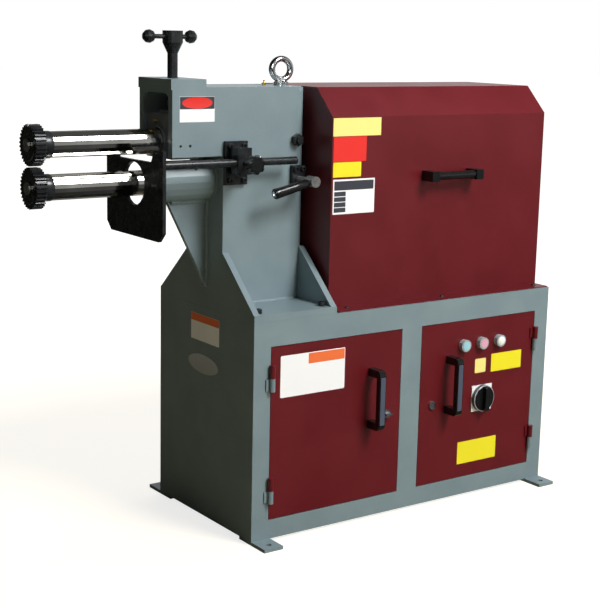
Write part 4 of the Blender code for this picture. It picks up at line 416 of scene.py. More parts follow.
def inset_top(obj, border, rise):
    """Insets the top face by a border and moves what lies inside it up or down."""
    select_top(obj)
    bpy.ops.mesh.inset(thickness=border)
    bpy.ops.transform.translate(value=(0, 0, rise))
    bpy.ops.object.mode_set(mode="OBJECT")


def cylinder(sides, radius, depth, middle):
    """An upright cylinder about its middle."""
    start_clean()
    bpy.ops.mesh.primitive_cylinder_add(vertices=sides, radius=radius, depth=depth,
                                        location=middle)
    return bpy.context.object


def block(size, middle, turn=0):
    """A box about its middle, turned about the vertical."""
    start_clean()
    bpy.ops.mesh.primitive_cube_add(size=1, location=middle, rotation=(0, 0, turn))
    bpy.context.object.scale = size
    return bpy.context.object


def stacked(name, sides, rings):
    """A turned piece standing on the origin, from (radius, rise) rings that extrude its top."""
    radius, height = rings[0]
    obj = cylinder(sides, radius, height, (0, 0, height / 2))
    obj.name = name
    settle(obj)
    for wider, rise in rings[1:]:
        select_top(obj)
        bpy.ops.mesh.extrude_region_move(TRANSFORM_OT_translate={"value": (0, 0, rise)})
        height += rise
        if wider != radius:
            share = wider / radius
            bpy.ops.transform.resize(value=(share, share, 1), center_override=(0, 0, height))
        radius = wider
        bpy.ops.object.mode_set(mode="OBJECT")
    return obj


def set_down(obj, place, facing):
    """Turns a piece that stands on the origin to look along facing, and moves it to its place."""
    turn = Vector(UP).rotation_difference(Vector(facing)).to_matrix().to_4x4()
    obj.matrix_world = Matrix.Translation(place) @ turn
    settle(obj)
    return obj


def copied(obj, name):
    """A copy of a piece with its own mesh."""
    twin = obj.copy()
    twin.data = obj.data.copy()
    twin.name = name
    bpy.context.scene.collection.objects.link(twin)
    return twin


def set_copies(pattern, name, places, facing, finish, body):
    """Puts a copy of a small piece at each place, let in by a hair, and removes the pattern."""
    for count, place in enumerate(places, 1):
        twin = copied(pattern, f"{name}_{count}")
        set_down(twin, Vector(place) - Vector(facing) * SINK, facing)
        give(twin, finish, body)
    bpy.data.objects.remove(pattern)


def socket_screw(radius, height):
    """A socket screw's head, standing on the origin: a bevelled rim and a hexagonal socket."""
    bevel_share, socket_share, socket_height_share = 0.12, 0.56, 0.95
    head = stacked("socket_screw", 32, [(radius, height)])
    rounded(head, radius * bevel_share)
    cut_from(head, cylinder(6, radius * socket_share, height,
                            (0, 0, height * socket_height_share)))
    return head


def round_head_screw(radius, height):
    """A pan head screw with a cross recess, standing on the origin."""
    dome_shares = ((1, 0.4), (0.86, 0.35), (0.5, 0.25))
    head = stacked("round_head_screw", 28, [(radius * r, height * h) for r, h in dome_shares])
    blade = (radius * 1.1, radius * 0.22, height * 0.9)
    for turn in (0, math.pi / 2):
        cut_from(head, block(blade, (0, 0, height), turn))
    return head


def toothed_rim(name, teeth, radius, depth, width):
    """A toothed disc standing on the origin: a cylinder with every other pair of edges drawn in."""
    edges_a_tooth, root_edges, bevel_share, top_share = 4, (2, 3), 0.04, 0.95
    rim = cylinder(teeth * edges_a_tooth, radius, width, (0, 0, width / 2))
    rim.name = name
    settle(rim)
    step = math.tau / (teeth * edges_a_tooth)

    def at_root(vertex):
        return round(math.atan2(vertex.co.y, vertex.co.x) / step) % edges_a_tooth in root_edges

    select_parts(rim, "VERT", at_root)
    share = (radius - depth) / radius
    bpy.ops.transform.resize(value=(share, share, 1), center_override=(0, 0, 0))
    bpy.ops.object.mode_set(mode="OBJECT")
    select_top(rim)
    down = {"value": (0, 0, -width * bevel_share)}
    bpy.ops.mesh.extrude_region_move(TRANSFORM_OT_translate=down)
    bpy.ops.transform.resize(value=(top_share, top_share, 1), center_override=(0, 0, width))
    bpy.ops.transform.translate(value=(0, 0, width * bevel_share))
    bpy.ops.object.mode_set(mode="OBJECT")
    return rim


def bare_plate(name, low, high, facing, finish, body, corner=SQUARE, thickness=FILM):
    """A thin bare plate or film on a flat face, from two opposite corners on that face."""
    low, high, facing = Vector(low), Vector(high), Vector(facing)
    size = [abs(b - a) for a, b in zip(low, high)]
    axis = max(range(3), key=lambda n: abs(facing[n]))
    size[axis] = thickness
    obj = block(size, (low + high) / 2 + facing * (thickness / 2 - LET_IN))
    obj.name = name
    settle(obj)

    def across(edge):
        a, b = (obj.data.vertices[v].co for v in edge.vertices)
        return abs((b - a).normalized()[axis]) > ALIGNED

    select_parts(obj, "EDGE", across)
    bpy.ops.mesh.bevel(offset=corner, segments=4)
    bpy.ops.object.mode_set(mode="OBJECT")
    return give(obj, finish, body, smooth=False)


def front_plate(name, x, z, y, finish, body, **more):
    """A bare plate on a face that looks to the front, from its spans along the length and up."""
    return bare_plate(name, spot(x[0], y, z[0]), spot(x[1], y, z[1]), TO_FRONT, finish, body,
                      **more)


def front_field(name, x, z, y, finish, body, corner=SQUARE):
    """A coloured field on a front plate that lies on the face at y."""
    return front_plate(name, x, z, y - FIELD, finish, body, corner=corner, thickness=FIELD)


def side_plate(name, y, z, x, finish, body, **more):
    """A bare plate on the cabinet's left side, from its spans in depth and up."""
    return bare_plate(name, spot(x, y[0], z[0]), spot(x, y[1], z[1]), TO_LEFT, finish, body,
                      **more)


def oval_plate(name, centre, half_across, half_up, facing, thickness, finish, body):
    """An oval plate with a raised rim: a round disc, pressed in inside its rim and stretched."""
    rim_share, press_share = 0.06, 0.45
    obj = stacked(name, 48, [(1.0, thickness)])
    inset_top(obj, rim_share, -thickness * press_share)
    if facing == TO_LEFT:
        obj.scale, turn = (half_up, half_across, 1), (0, -math.pi / 2, 0)
    else:
        obj.scale, turn = (half_across, half_up, 1), (math.pi / 2, 0, 0)
    settle(obj)
    obj.rotation_euler = turn
    obj.location = Vector(centre) - Vector(facing) * LET_IN
    settle(obj)
    return give(obj, finish, body)


def bead(name, points, radius, body, closed=False):
    """A weld bead: a rippled tube half let into the corner that it fills."""
    step_share, coarse, fine = 0.9, (0.14, 2.1), (0.08, 0.73)
    start_clean()
    curve = bpy.data.curves.new(name, "CURVE")
    curve.dimensions = "3D"
    curve.bevel_depth = radius
    curve.bevel_resolution = 2
    curve.use_fill_caps = True
    spline = curve.splines.new("POLY")
    dense = []
    for a, b in zip(points, points[1:] + points[:1] if closed else points[1:]):
        steps = max(2, int((b - a).length / (radius * step_share)))
        dense += [a.lerp(b, n / steps) for n in range(steps)]
    if not closed:
        dense.append(points[-1])
    spline.points.add(len(dense) - 1)
    for n, (point, co) in enumerate(zip(spline.points, dense)):
        point.co = (*co, 1)
        point.radius = 1 + coarse[0] * math.sin(n * coarse[1]) + fine[0] * math.sin(n * fine[1])
    spline.use_cyclic_u = closed
    obj = bpy.data.objects.new(name, curve)
    bpy.context.scene.collection.objects.link(obj)
    pick(obj)
    bpy.ops.object.convert(target="MESH")
    return give(bpy.context.object, "grey_green_paint", body)


# ---------------------------------------------------------------- settings and operators


class BEADROLLER_PG_settings(bpy.types.PropertyGroup):
    """Sizes and colours of the dressing that a user may change."""

    door_colour: bpy.props.FloatVectorProperty(
        name="Door enamel", description="Colour of the doors and the drive cover",
        subtype="COLOR", size=3, default=(0.369, 0.067, 0.094), min=0, max=1)
    hammer_depth: bpy.props.FloatProperty(
        name="Hammer finish", description="Strength of the dimples in the grey-green enamel",
        default=0.35, min=0, max=1, subtype="FACTOR")
    base_screw_radius: bpy.props.FloatProperty(
        name="Base screw head", description="Radius of the screws that hold the base plate",
        default=0.0095, min=0.004, unit="LENGTH")
    bracket_screw_radius: bpy.props.FloatProperty(
        name="Bracket screw head", description="Radius of the screws in the two black brackets",
        default=0.0062, min=0.003, unit="LENGTH")
    star_radius: bpy.props.FloatProperty(
        name="Star grip radius", description="Outer radius of the star grip",
        default=0.0212, min=0.01, unit="LENGTH")
    star_reach: bpy.props.FloatProperty(
        name="Star grip reach", description="How far the star grip stands out past the plain one",
        default=0.0060, min=0, unit="LENGTH")
    die_teeth: bpy.props.IntProperty(
        name="Die teeth", description="Number of teeth round each forming die",
        default=30, min=8)
    die_tooth_depth: bpy.props.FloatProperty(
        name="Die tooth depth", description="Depth of the teeth of the forming dies",
        default=0.0050, min=0.001, unit="LENGTH")
    die_rim_width: bpy.props.FloatProperty(
        name="Die rim width", description="Width of the dies' toothed rims",
        default=0.0240, min=0.005, unit="LENGTH")
    eye_outer_radius: bpy.props.FloatProperty(
        name="Eye radius", description="Outer radius of the lifting eye",
        default=0.0305, min=0.01, unit="LENGTH")
    eye_wire_radius: bpy.props.FloatProperty(
        name="Eye thickness", description="Half the thickness of the lifting eye's ring",
        default=0.0068, min=0.002, unit="LENGTH")
    eye_height: bpy.props.FloatProperty(
        name="Eye height", description="Height of the lifting eye over the column",
        default=0.0670, min=0.02, unit="LENGTH")
    film_corner: bpy.props.FloatProperty(
        name="Film corner", description="Corner radius of the round-cornered bare plates",
        default=0.003, min=0.0005, unit="LENGTH")


class BEADROLLER_OT_finishes(bpy.types.Operator):
    """Gives every part of the machine its enamel, steel, bronze or plastic"""

    bl_idname = "beadroller.finishes"
    bl_label = "Finish the parts"

    def execute(self, context):
        FINISHES.update(make_finishes(context.scene.bead_roller))
        for entry in FRAME["record"]["subparts"]:
            slot = FINISH_CHANGES.get(entry["node"], entry["material_slot"])
            obj = NODES[entry["node"]]
            obj.data.materials.clear()
            obj.data.materials.append(FINISHES[slot])
        return {"FINISHED"}


class BEADROLLER_OT_base_screws(bpy.types.Operator):
    """Adds the socket screws that hold the base plate and the two black brackets"""

    bl_idname = "beadroller.base_screws"
    bl_label = "Base and bracket screws"

    def execute(self, context):
        settings = context.scene.bead_roller
        base_columns, base_half_pitch, base_height = (0.025, 0.199), 0.1825, 0.010
        base = [spot(x, side * base_half_pitch, BASE_TOP) for x in base_columns
                for side in (-1, 1)]
        set_copies(socket_screw(settings.base_screw_radius, base_height), "base_screw", base, UP,
                   "black_steel", "machine")
        clamp_columns, clamp_rows = (0.0105, 0.0465), (0.8125, 0.8885)
        lever_middle, lever_half_pitch, lever_row = 0.198, 0.0095, 0.831
        bracket = [spot(x, BRACKET_FRONT, z) for x in clamp_columns for z in clamp_rows]
        bracket += [spot(lever_middle + side * lever_half_pitch, BRACKET_FRONT, lever_row)
                    for side in (-1, 1)]
        bracket_height = 0.0065
        set_copies(socket_screw(settings.bracket_screw_radius, bracket_height), "bracket_screw",
                   bracket, TO_FRONT, "black_steel", "machine")
        return {"FINISHED"}


class BEADROLLER_OT_cover_screws(bpy.types.Operator):
    """Adds the pan head screws in the drive cover's flanges and the brass earth screw on its top"""

    bl_idname = "beadroller.cover_screws"
    bl_label = "Cover screws"

    def execute(self, context):
        columns, rows = (0.277, 0.567, 0.877), (-0.1745, 0.1580)
        flange_head, earth_head = (0.0058, 0.0036), (0.0048, 0.0032)  # radius and height
        flange = [spot(x, y, FLANGE_TOP) for x in columns for y in rows]
        set_copies(round_head_screw(*flange_head), "cover_screw", flange, UP, "black_steel",
                   "machine")
        earth = spot(0.2450, 0.0580, COVER_HIGH.z)
        set_copies(round_head_screw(*earth_head), "earth_screw", [earth], UP, "brass", "machine")
        return {"FINISHED"}


class BEADROLLER_OT_grease_nipples(bpy.types.Operator):
    """Adds the column's and the sliding block's grease nipples and the housing's set screw"""

    bl_idname = "beadroller.grease_nipples"
    bl_label = "Grease nipples"

    def execute(self, context):
        nipple = [(0.0040, 0.0040), (0.0024, 0.0004), (0.0024, 0.0028), (0.0016, 0.0012),
                  (0.0026, 0.0012), (0.0026, 0.0010), (0.0014, 0.0012)]
        column_x, block_height = 0.153, 0.9420
        housing_x, housing_radius, slant = -0.048, 0.0455, Vector((0, -0.78, 0.625)).normalized()
        screw_radius, screw_height = 0.0036, 0.0020
        on_column = spot(column_x, 0, COLUMN_TOP)
        set_copies(stacked("nipple", 12, nipple), "column_nipple", [on_column], UP, "brass",
                   "machine")
        on_block = Vector((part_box("bearing_block")[0].x, 0, block_height))
        set_copies(stacked("nipple", 12, nipple), "block_nipple", [on_block], TO_LEFT, "brass",
                   "bearing_block")
        on_housing = spot(housing_x, 0, LOWER_AXIS) + slant * housing_radius
        set_copies(socket_screw(screw_radius, screw_height), "housing_set_screw", [on_housing],
                   slant, "black_steel", "machine")
        return {"FINISHED"}


class BEADROLLER_OT_dies(bpy.types.Operator):
    """Models the two toothed forming dies: a coarse toothed rim, a flat face and a collar"""

    bl_idname = "beadroller.dies"
    bl_label = "Forming dies"

    def execute(self, context):
        settings = context.scene.bead_roller
        low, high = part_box("upper_die")
        radius = (high.z - low.z) / 2
        length = high.x - low.x
        proud, land = 0.0010, 0.0045
        collar_radius, collar_edge = 0.0290, 0.0008
        dish_radius, dish_border, dish_depth = 0.0320, 0.0035, 0.0008
        collar_length = length - settings.die_rim_width - proud
        disc_radius = radius - settings.die_tooth_depth - land
        for node, body in (("upper_die", "upper_shaft"), ("lower_die", "lower_shaft")):
            rim = toothed_rim(node + "_toothed", settings.die_teeth, radius,
                              settings.die_tooth_depth, settings.die_rim_width)
            collar = stacked("collar", 64, [(collar_radius, collar_length)])
            rounded(collar, collar_edge)
            disc = stacked("disc", 64, [(disc_radius, proud * 2), (dish_radius, 0.0)])
            inset_top(disc, dish_border, -dish_depth)
            rim.location.z = collar_length
            disc.location.z = length - proud * 2
            die = joined(rim, [collar, disc])
            middle = (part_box(node)[0].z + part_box(node)[1].z) / 2
            set_down(die, Vector((high.x, 0, middle)), TO_LEFT)
            give(die, "black_steel", body)
            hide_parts(node)
        return {"FINISHED"}


class BEADROLLER_OT_star_grip(bpy.types.Operator):
    """Models the seven-lobed star grip that clamps the guide rod"""

    bl_idname = "beadroller.star_grip"
    bl_label = "Star grip"

    def execute(self, context):
        settings = context.scene.bead_roller
        low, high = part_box("star_knob")
        depth = high.y - low.y + settings.star_reach
        radius = settings.star_radius
        lobes, head, edge = 7, 0.0170, 0.0022
        valley_share, valley_reach_share = 0.40, 1.24
        border, boss = 0.0040, 0.0006
        neck_radius, neck_root_radius, neck_root = 0.0055, 0.0105, 0.0050
        hub_radius, hub_height = 0.0068, 0.0008
        overlap = 0.0005
        star = stacked("star_grip", 84, [(radius, head)])
        reach = radius * valley_reach_share
        cutters = []
        for count in range(lobes):
            turn = math.tau * count / lobes + math.pi / 2
            middle = (reach * math.cos(turn), reach * math.sin(turn), 0)
            cutters.append(cylinder(32, radius * valley_share, head * 4, middle))
        cut_from(star, joined(cutters[0], cutters[1:]))
        rounded(star, edge, 3)
        inset_top(star, border, boss)
        settle(star)
        neck = stacked("neck", 40, [(neck_radius, depth - head - neck_root),
                                    (neck_root_radius, neck_root + overlap)])
        hub = stacked("hub", 40, [(hub_radius, hub_height)])
        hub.location.z = depth - hub_height / 2
        star.location.z = depth - head - boss
        star = joined(star, [neck, hub])
        middle = (low + high) / 2
        set_down(star, Vector((middle.x, high.y, middle.z)), TO_FRONT)
        give(star, "black_plastic", "star_knob")
        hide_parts("star_knob")
        return {"FINISHED"}


class BEADROLLER_OT_lifting_eye(bpy.types.Operator):
    """Models the forged lifting eye: a heavy flattened ring growing out of a stepped collar"""

    bl_idname = "beadroller.lifting_eye"
    bl_label = "Lifting eye"

    def execute(self, context):
        settings = context.scene.bead_roller
        wire = settings.eye_wire_radius
        ring_radius = settings.eye_outer_radius - wire
        middle = COLUMN_TOP + settings.eye_height - settings.eye_outer_radius
        foot_share, swollen_foot, flat_ring = 0.55, (1.08, 1.45, 1.0), (1.0, 0.86, 1.0)
        foot = middle - ring_radius * foot_share
        start_clean()
        bpy.ops.mesh.primitive_torus_add(
            major_radius=ring_radius, minor_radius=wire, major_segments=64, minor_segments=20,
            rotation=(math.pi / 2, 0, 0), location=(0, 0, middle))
        ring = context.object
        ring.name = "lifting_eye"
        settle(ring)
        for in_foot, stretch in ((True, swollen_foot), (False, flat_ring)):
            for vertex in ring.data.vertices:
                vertex.select = (vertex.co.z < foot) == in_foot
            bpy.ops.object.mode_set(mode="EDIT")
            bpy.ops.transform.resize(value=stretch, center_override=(0, 0, middle))
            bpy.ops.object.mode_set(mode="OBJECT")
        collar = stacked("collar", 48, [(0.0165, 0.0005), (0.0175, 0.0010), (0.0175, 0.0050),
                                        (0.0160, 0.0012), (0.0105, 0.0048)])
        collar.location.z = COLUMN_TOP + SINK
        eye = joined(ring, [collar])
        low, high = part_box("eye_bolt")
        eye.location.x = (low.x + high.x) / 2
        settle(eye)
        give(eye, "chrome", "machine")
        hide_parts("eye_bolt")
        return {"FINISHED"}


def handle_faces():
    """The slate faces let into the two door handles."""
    half_width, margin, corner, thickness = 0.0068, 0.0145, 0.0022, 0.0012
    for side in ("left", "right"):
        low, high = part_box(f"{side}_door_handle")
        x = (low.x + high.x) / 2 - LEFT
        front_plate(f"{side}_handle_face", (x - half_width, x + half_width),
                    (low.z + margin, high.z - margin), low.y, "slate_plastic", f"{side}_door",
                    corner=corner, thickness=thickness)


def isolator_dial():
    """The isolator's ribbed skirt, the bright ring on it and the dark face inside the ring."""
    low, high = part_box("isolator_knob")
    middle = Vector(((low.x + high.x) / 2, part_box("isolator_plate")[0].y, (low.z + high.z) / 2))
    ribs, skirt_radius, rib_depth, skirt_height = 48, 0.0335, 0.0007, 0.0085
    skirt_step, ring_step, face_step = 0.0004, 0.0088, 0.0096
    skirt = toothed_rim("isolator_skirt", ribs, skirt_radius, rib_depth, skirt_height)
    ring = stacked("isolator_ring", 72, [(0.0326, 0.0004), (0.0334, 0.0006), (0.0326, 0.0008),
                                         (0.0290, 0.0)])
    face = stacked("isolator_face", 72, [(0.0312, 0.0016), (0.0306, 0.0006)])
    for piece, step, finish in ((skirt, skirt_step, "grey_knob_plastic"),
                                (ring, ring_step, "silver_film"),
                                (face, face_step, "black_plastic")):
        set_down(piece, middle + Vector((0, -step, 0)), TO_FRONT)
        give(piece, finish, "isolator")


def swelling_grip():
    """The lever's grip, which swells to its end, with its stem and the screw in its end."""
    slope = math.radians(13)
    start_step, stem_step, end_step = 0.0140, 0.0085, 0.0918
    screw_radius, screw_height = 0.0070, 0.0018
    hub = (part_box("lever_spindle")[0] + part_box("lever_spindle")[1]) / 2
    grip = (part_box("lever_grip")[0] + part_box("lever_grip")[1]) / 2
    way = Vector((-math.cos(slope), 0, -math.sin(slope)))
    start = Vector((hub.x, grip.y, hub.z)) + way * start_step
    body = stacked("lever_grip_body", 40, [
        (0.0090, 0.0010), (0.0104, 0.0020), (0.0108, 0.0320), (0.0120, 0.0460), (0.0124, 0.0060),
        (0.0122, 0.0030), (0.0108, 0.0020)])
    stem = stacked("stem", 24, [(0.0050, 0.0100)])
    stem.location.z = -stem_step
    body = joined(body, [stem])
    set_down(body, start, way)
    give(body, "black_plastic", "lever")
    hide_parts("lever_grip")
    set_copies(socket_screw(screw_radius, screw_height), "grip_end_screw",
               [start + way * end_step], way, "chrome", "lever")


class BEADROLLER_OT_grips(bpy.types.Operator):
    """Adds the door handles' slate faces, the isolator's dial and the lever's swelling grip"""

    bl_idname = "beadroller.grips"
    bl_label = "Handles and grips"

    def execute(self, context):
        handle_faces()
        isolator_dial()
        swelling_grip()
        return {"FINISHED"}


class BEADROLLER_OT_plates(bpy.types.Operator):
    """Adds the bare films and plates on the doors, the cabinet's side, the head and the cover"""

    bl_idname = "beadroller.plates"
    bl_label = "Bare plates"

    def execute(self, context):
        corner = context.scene.bead_roller.film_corner
        door, head, cover = CABINET_FRONT, COLUMN_FRONT, COVER_FRONT
        front_plate("left_door_plate", (0.0715, 0.251), (0.334, 0.4305), door, "white_film",
                    "left_door", corner=corner)
        front_field("left_door_plate_header", (0.148, 0.2495), (0.4045, 0.4285), door,
                    "orange_film", "left_door")
        front_plate("right_door_plate", (0.711, 0.814), (0.313, 0.359), door, "yellow_film",
                    "right_door")
        front_plate("right_door_low_plate", (0.611, 0.740), (0.087, 0.144), door, "yellow_film",
                    "right_door")
        front_plate("switch_plate", (0.657, 0.693), (0.316, 0.352), door, "pale_yellow_film",
                    "right_door", corner=corner)
        side_plate("side_plate", (-0.0625, 0.0615), (0.429, 0.4915), 0, "white_film", "machine")
        side_plate("side_plate_header", (-0.0620, 0.0610), (0.4735, 0.4910), -FIELD,
                   "orange_film", "machine", thickness=FIELD)
        oval_plate("oval_plate", spot(0, 0.0055, 0.3755), 0.066, 0.0225, TO_LEFT, 0.0012,
                   "silver_film", "machine")
        front_plate("head_plate", (-0.112, -0.024), (0.942, 0.997), head, "white_film", "machine")
        front_field("head_plate_band", (-0.1115, -0.0245), (0.970, 0.9965), head, "ink_film",
                    "machine")
        oval_plate("head_plate_oval", spot(-0.068, head - FIELD * 2, 0.9835), 0.038, 0.0125,
                   TO_FRONT, FIELD, "red_film", "machine")
        front_plate("cover_cream_plate", (0.238, 0.375), (0.909, 0.950), cover,
                    "pale_yellow_film", "machine")
        front_plate("cover_red_plate", (0.240, 0.334), (0.851, 0.908), cover, "red_film",
                    "machine")
        front_plate("cover_yellow_plate", (0.240, 0.320), (0.816, 0.850), cover, "yellow_film",
                    "machine")
        front_plate("cover_ruled_plate", (0.241, 0.361), (0.731, 0.811), cover, "white_film",
                    "machine")
        front_field("cover_ruled_band", (0.2445, 0.3575), (0.786, 0.807), cover, "ink_film",
                    "machine")
        first_row, row_pitch, row_height, cell_corner = 0.7355, 0.0123, 0.0105, 0.0008
        for row in range(4):
            low = first_row + row * row_pitch
            front_field(f"cover_ruled_cell_{row + 1}", (0.2445, 0.2775), (low, low + row_height),
                        cover, "ink_film", "machine", corner=cell_corner)
        return {"FINISHED"}


class BEADROLLER_OT_weld_beads(bpy.types.Operator):
    """Adds the painted weld beads at the column's foot, the gusset and the shaft's housing"""

    bl_idname = "beadroller.weld_beads"
    bl_label = "Weld beads"

    def execute(self, context):
        out = 0.0005
        foot_ends, foot_radius = (0.030, 0.194), 0.0035
        gusset_points = (-0.096, 0.7600), (-0.004, 0.7600), (-0.002, 0.7560), (-0.002, 0.5640)
        gusset_side, gusset_radius = 0.0078, 0.0048
        for side, name in ((-1, "front"), (1, "back")):
            foot = side * (-COLUMN_FRONT + out)
            bead(f"{name}_foot_bead", [spot(x, foot, BASE_TOP + out) for x in foot_ends],
                 foot_radius, "machine")
            web = side * gusset_side
            bead(f"{name}_gusset_bead", [spot(x, web, z) for x, z in gusset_points],
                 gusset_radius, "machine")
        housing_x, housing_radius, bead_radius, steps = -0.0012, 0.0470, 0.0028, 40
        around = [math.tau * n / steps for n in range(steps)]
        ring = [spot(housing_x, housing_radius * math.sin(a),
                     LOWER_AXIS + housing_radius * math.cos(a)) for a in around]
        bead("housing_bead", ring, bead_radius, "machine", closed=True)
        return {"FINISHED"}


class BEADROLLER_OT_stage(bpy.types.Operator):
    """Sets the pale floor, the soft studio light and the camera"""

    bl_idname = "beadroller.stage"
    bl_label = "Stage"

    def execute(self, context):
        scene = context.scene
        floor_span = 60
        start_clean()
        bpy.ops.mesh.primitive_plane_add(size=floor_span, location=(0, 0, FLOOR))
        floor = context.object
        floor.name = "floor"
        floor.data.materials.append(studio_floor())
        scene.world = studio_world()
        target = Vector((0, 0, 0.55))
        # Name, place, width in metres, power in watts, lights surfaces, shows in gloss
        lamps = (
            ("key", (1.10, -3.00, 3.70), 1.5, 200, True, True),
            ("fill", (1.20, -3.80, 1.60), 2.0, 38, True, False),
            ("top", (0.60, 0.40, 3.20), 1.6, 28, True, False),
            ("glint", (-2.10, -2.60, 2.20), 0.9, 60, False, True),
        )
        for name, place, size, power, lights, shows in lamps:
            aim = (target - Vector(place)).to_track_quat("-Z", "Y").to_euler()
            bpy.ops.object.light_add(type="AREA", location=place, rotation=aim)
            lamp = context.object
            lamp.name = f"{name}_light"
            lamp.data.size = size
            lamp.data.energy = power
            lamp.visible_diffuse = lights
            lamp.visible_glossy = shows
        set_camera(scene)
        scene.view_settings.view_transform = "Standard"
        return {"FINISHED"}


# The studio's linear colours: the paper, the light's tint on the machine's left, and white
PAPER = (0.40, 0.355, 0.24, 1)
WARM = (1.0, 0.90, 0.66, 1)
WHITE = (1, 1, 1, 1)


def maths(tree, operation, first, second):
    """The outcome of one operation on two values."""
    return put(tree, "ShaderNodeMath", {0: first, 1: second}, operation=operation).outputs[0]


def times(tree, first, second):
    """Multiplies two values."""
    return maths(tree, "MULTIPLY", first, second)


def larger(tree, first, second):
    """The larger of two values."""
    return maths(tree, "MAXIMUM", first, second)


def ramped(tree, value, start, end, low, high):
    """Goes smoothly from low to high while a value goes from start to end."""
    return put(tree, "ShaderNodeMapRange",
               {"Value": value, "From Min": start, "From Max": end, "To Min": low, "To Max": high},
               interpolation_type="SMOOTHSTEP").outputs["Result"]


def shown_rays(tree):
    """1 for rays from the camera, a reflection or a transmission, and 1 for the camera's alone."""
    rays = put(tree, "ShaderNodeLightPath").outputs
    camera = rays["Is Camera Ray"]
    seen = larger(tree, larger(tree, camera, rays["Is Glossy Ray"]), rays["Is Transmission Ray"])
    return seen, camera


def studio_floor():
    # White paper: to the camera it glows white and a little less near the machine, where the soft
    # shadow shows, and gloss sees it white behind the machine and dark to its left
    material = bpy.data.materials.new("studio_floor")
    material.use_nodes = True
    tree = material.node_tree
    tree.nodes.clear()
    here = put(tree, "ShaderNodeTexCoord").outputs["Object"]
    place = put(tree, "ShaderNodeSeparateXYZ", {0: here}).outputs
    away = put(tree, "ShaderNodeVectorMath", {0: here}, operation="LENGTH").outputs["Value"]
    paper = put(tree, "ShaderNodeBsdfDiffuse", {"Color": PAPER})
    seen, camera = shown_rays(tree)
    glow = times(tree, seen, ramped(tree, away, 0.9, 2.2, 0.78, 1.0))
    lit = put(tree, "ShaderNodeEmission", {"Color": WHITE, "Strength": glow})
    near = put(tree, "ShaderNodeAddShader", {0: paper.outputs[0], 1: lit.outputs[0]})
    behind = times(tree, ramped(tree, place["Y"], 0.2, 1.4, 0.10, 1.0),
                   ramped(tree, place["X"], -0.6, 0.5, 0.02, 1.0))
    mirrored = put(tree, "ShaderNodeEmission", {"Color": WHITE, "Strength": behind})
    gloss_only = maths(tree, "SUBTRACT", seen, camera)
    both = put(tree, "ShaderNodeMixShader",
               {0: gloss_only, 1: near.outputs[0], 2: mirrored.outputs[0]})
    put(tree, "ShaderNodeOutputMaterial", {"Surface": both.outputs[0]})
    return material


def studio_world():
    # White sweep: plain white to the camera, in gloss a white horizon behind the machine under a
    # dim ceiling, and a soft light that falls off and warms towards the machine's left
    world = bpy.data.worlds.new("studio")
    world.use_nodes = True
    tree = world.node_tree
    tree.nodes.clear()
    around = put(tree, "ShaderNodeTexCoord").outputs["Generated"]
    way = put(tree, "ShaderNodeSeparateXYZ", {0: around}).outputs
    seen, camera = shown_rays(tree)
    left = ramped(tree, way["X"], -0.3, 0.5, 0.05, 1.0)
    low_back = times(tree, ramped(tree, way["Y"], 0.0, 0.5, 0.0, 1.0),
                     ramped(tree, way["Z"], 0.45, 0.10, 0.0, 1.0))
    ceiling = ramped(tree, way["Z"], 0.05, 0.6, 0.55, 0.10)
    gloss = times(tree, left, larger(tree, low_back, ceiling))
    white = times(tree, seen, larger(tree, camera, gloss))
    hidden = maths(tree, "SUBTRACT", 1.0, seen)
    soft_strength = 0.48
    soft = times(tree, times(tree, hidden, left), soft_strength)
    warm = times(tree, hidden, ramped(tree, way["X"], -0.2, 0.3, 1.0, 0.0))
    tint = put(tree, "ShaderNodeMix", {0: warm, 6: WHITE, 7: WARM}, data_type="RGBA")
    sky = put(tree, "ShaderNodeBackground",
              {"Color": tint.outputs[2], "Strength": maths(tree, "ADD", white, soft)})
    put(tree, "ShaderNodeOutputWorld", {"Surface": sky.outputs[0]})
    return world


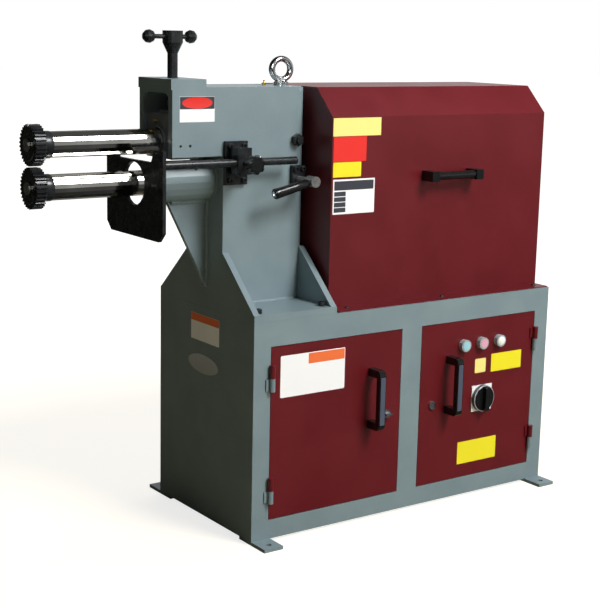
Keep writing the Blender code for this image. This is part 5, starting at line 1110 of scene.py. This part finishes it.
def set_camera(scene):
    """Puts the camera where the photograph was taken from, found from the cabinet's edges."""
    across, down, roll = (math.radians(angle) for angle in (-35.376, 11.235, 1.259))
    place, lens, sensor_width = (-1.82485, -2.6207, 1.1415), 81.34, 36
    back = Vector((math.sin(across) * math.cos(down), -math.cos(across) * math.cos(down),
                   math.sin(down)))
    right = (-back).cross(Vector(UP)).normalized()
    up = right.cross(-back)
    level_right = right * math.cos(roll) + up * math.sin(roll)
    level_up = up * math.cos(roll) - right * math.sin(roll)
    turn = Matrix((level_right, level_up, back)).transposed().to_euler()
    bpy.ops.object.camera_add(location=place, rotation=turn)
    camera = bpy.context.object
    camera.name = "camera"
    camera.data.sensor_width = sensor_width
    camera.data.lens = lens
    scene.camera = camera


class BEADROLLER_PT_panel(bpy.types.Panel):
    """Lists the dressing's settings and steps"""

    bl_idname = "BEADROLLER_PT_panel"
    bl_label = "Bead Roller"
    bl_space_type = "VIEW_3D"
    bl_region_type = "UI"
    bl_category = "Bead Roller"

    def draw(self, context):
        settings = context.scene.bead_roller
        for name in BEADROLLER_PG_settings.__annotations__:
            self.layout.prop(settings, name)
        for step in STEPS:
            self.layout.operator(step.bl_idname)


# Nodes whose finish differs from the one that their slot names
FINISH_CHANGES = {
    "upper_die_screw": "dull_steel",
    "lower_die_screw": "dull_steel",
    "lever_spindle": "dull_steel",
    "isolator_plate": "white_film",
    "start_bezel": "grey_plastic",
    "stop_bezel": "grey_plastic",
    "lamp_bezel": "grey_plastic",
}
# Filled by the first step, and used by every piece after it
FINISHES = {}
STEPS = (
    BEADROLLER_OT_finishes,
    BEADROLLER_OT_base_screws,
    BEADROLLER_OT_cover_screws,
    BEADROLLER_OT_grease_nipples,
    BEADROLLER_OT_dies,
    BEADROLLER_OT_star_grip,
    BEADROLLER_OT_lifting_eye,
    BEADROLLER_OT_grips,
    BEADROLLER_OT_plates,
    BEADROLLER_OT_weld_beads,
    BEADROLLER_OT_stage,
)
CLASSES = (BEADROLLER_PG_settings, *STEPS, BEADROLLER_PT_panel)


def register():
    for entry in CLASSES:
        bpy.utils.register_class(entry)
    bpy.types.Scene.bead_roller = bpy.props.PointerProperty(type=BEADROLLER_PG_settings)


def unregister():
    del bpy.types.Scene.bead_roller
    for entry in reversed(CLASSES):
        bpy.utils.unregister_class(entry)


def main():
    register()
    for step in STEPS:
        group, name = step.bl_idname.split(".")
        getattr(getattr(bpy.ops, group), name)()
    start_clean()
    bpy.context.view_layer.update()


if __name__ == "__main__":
    main()
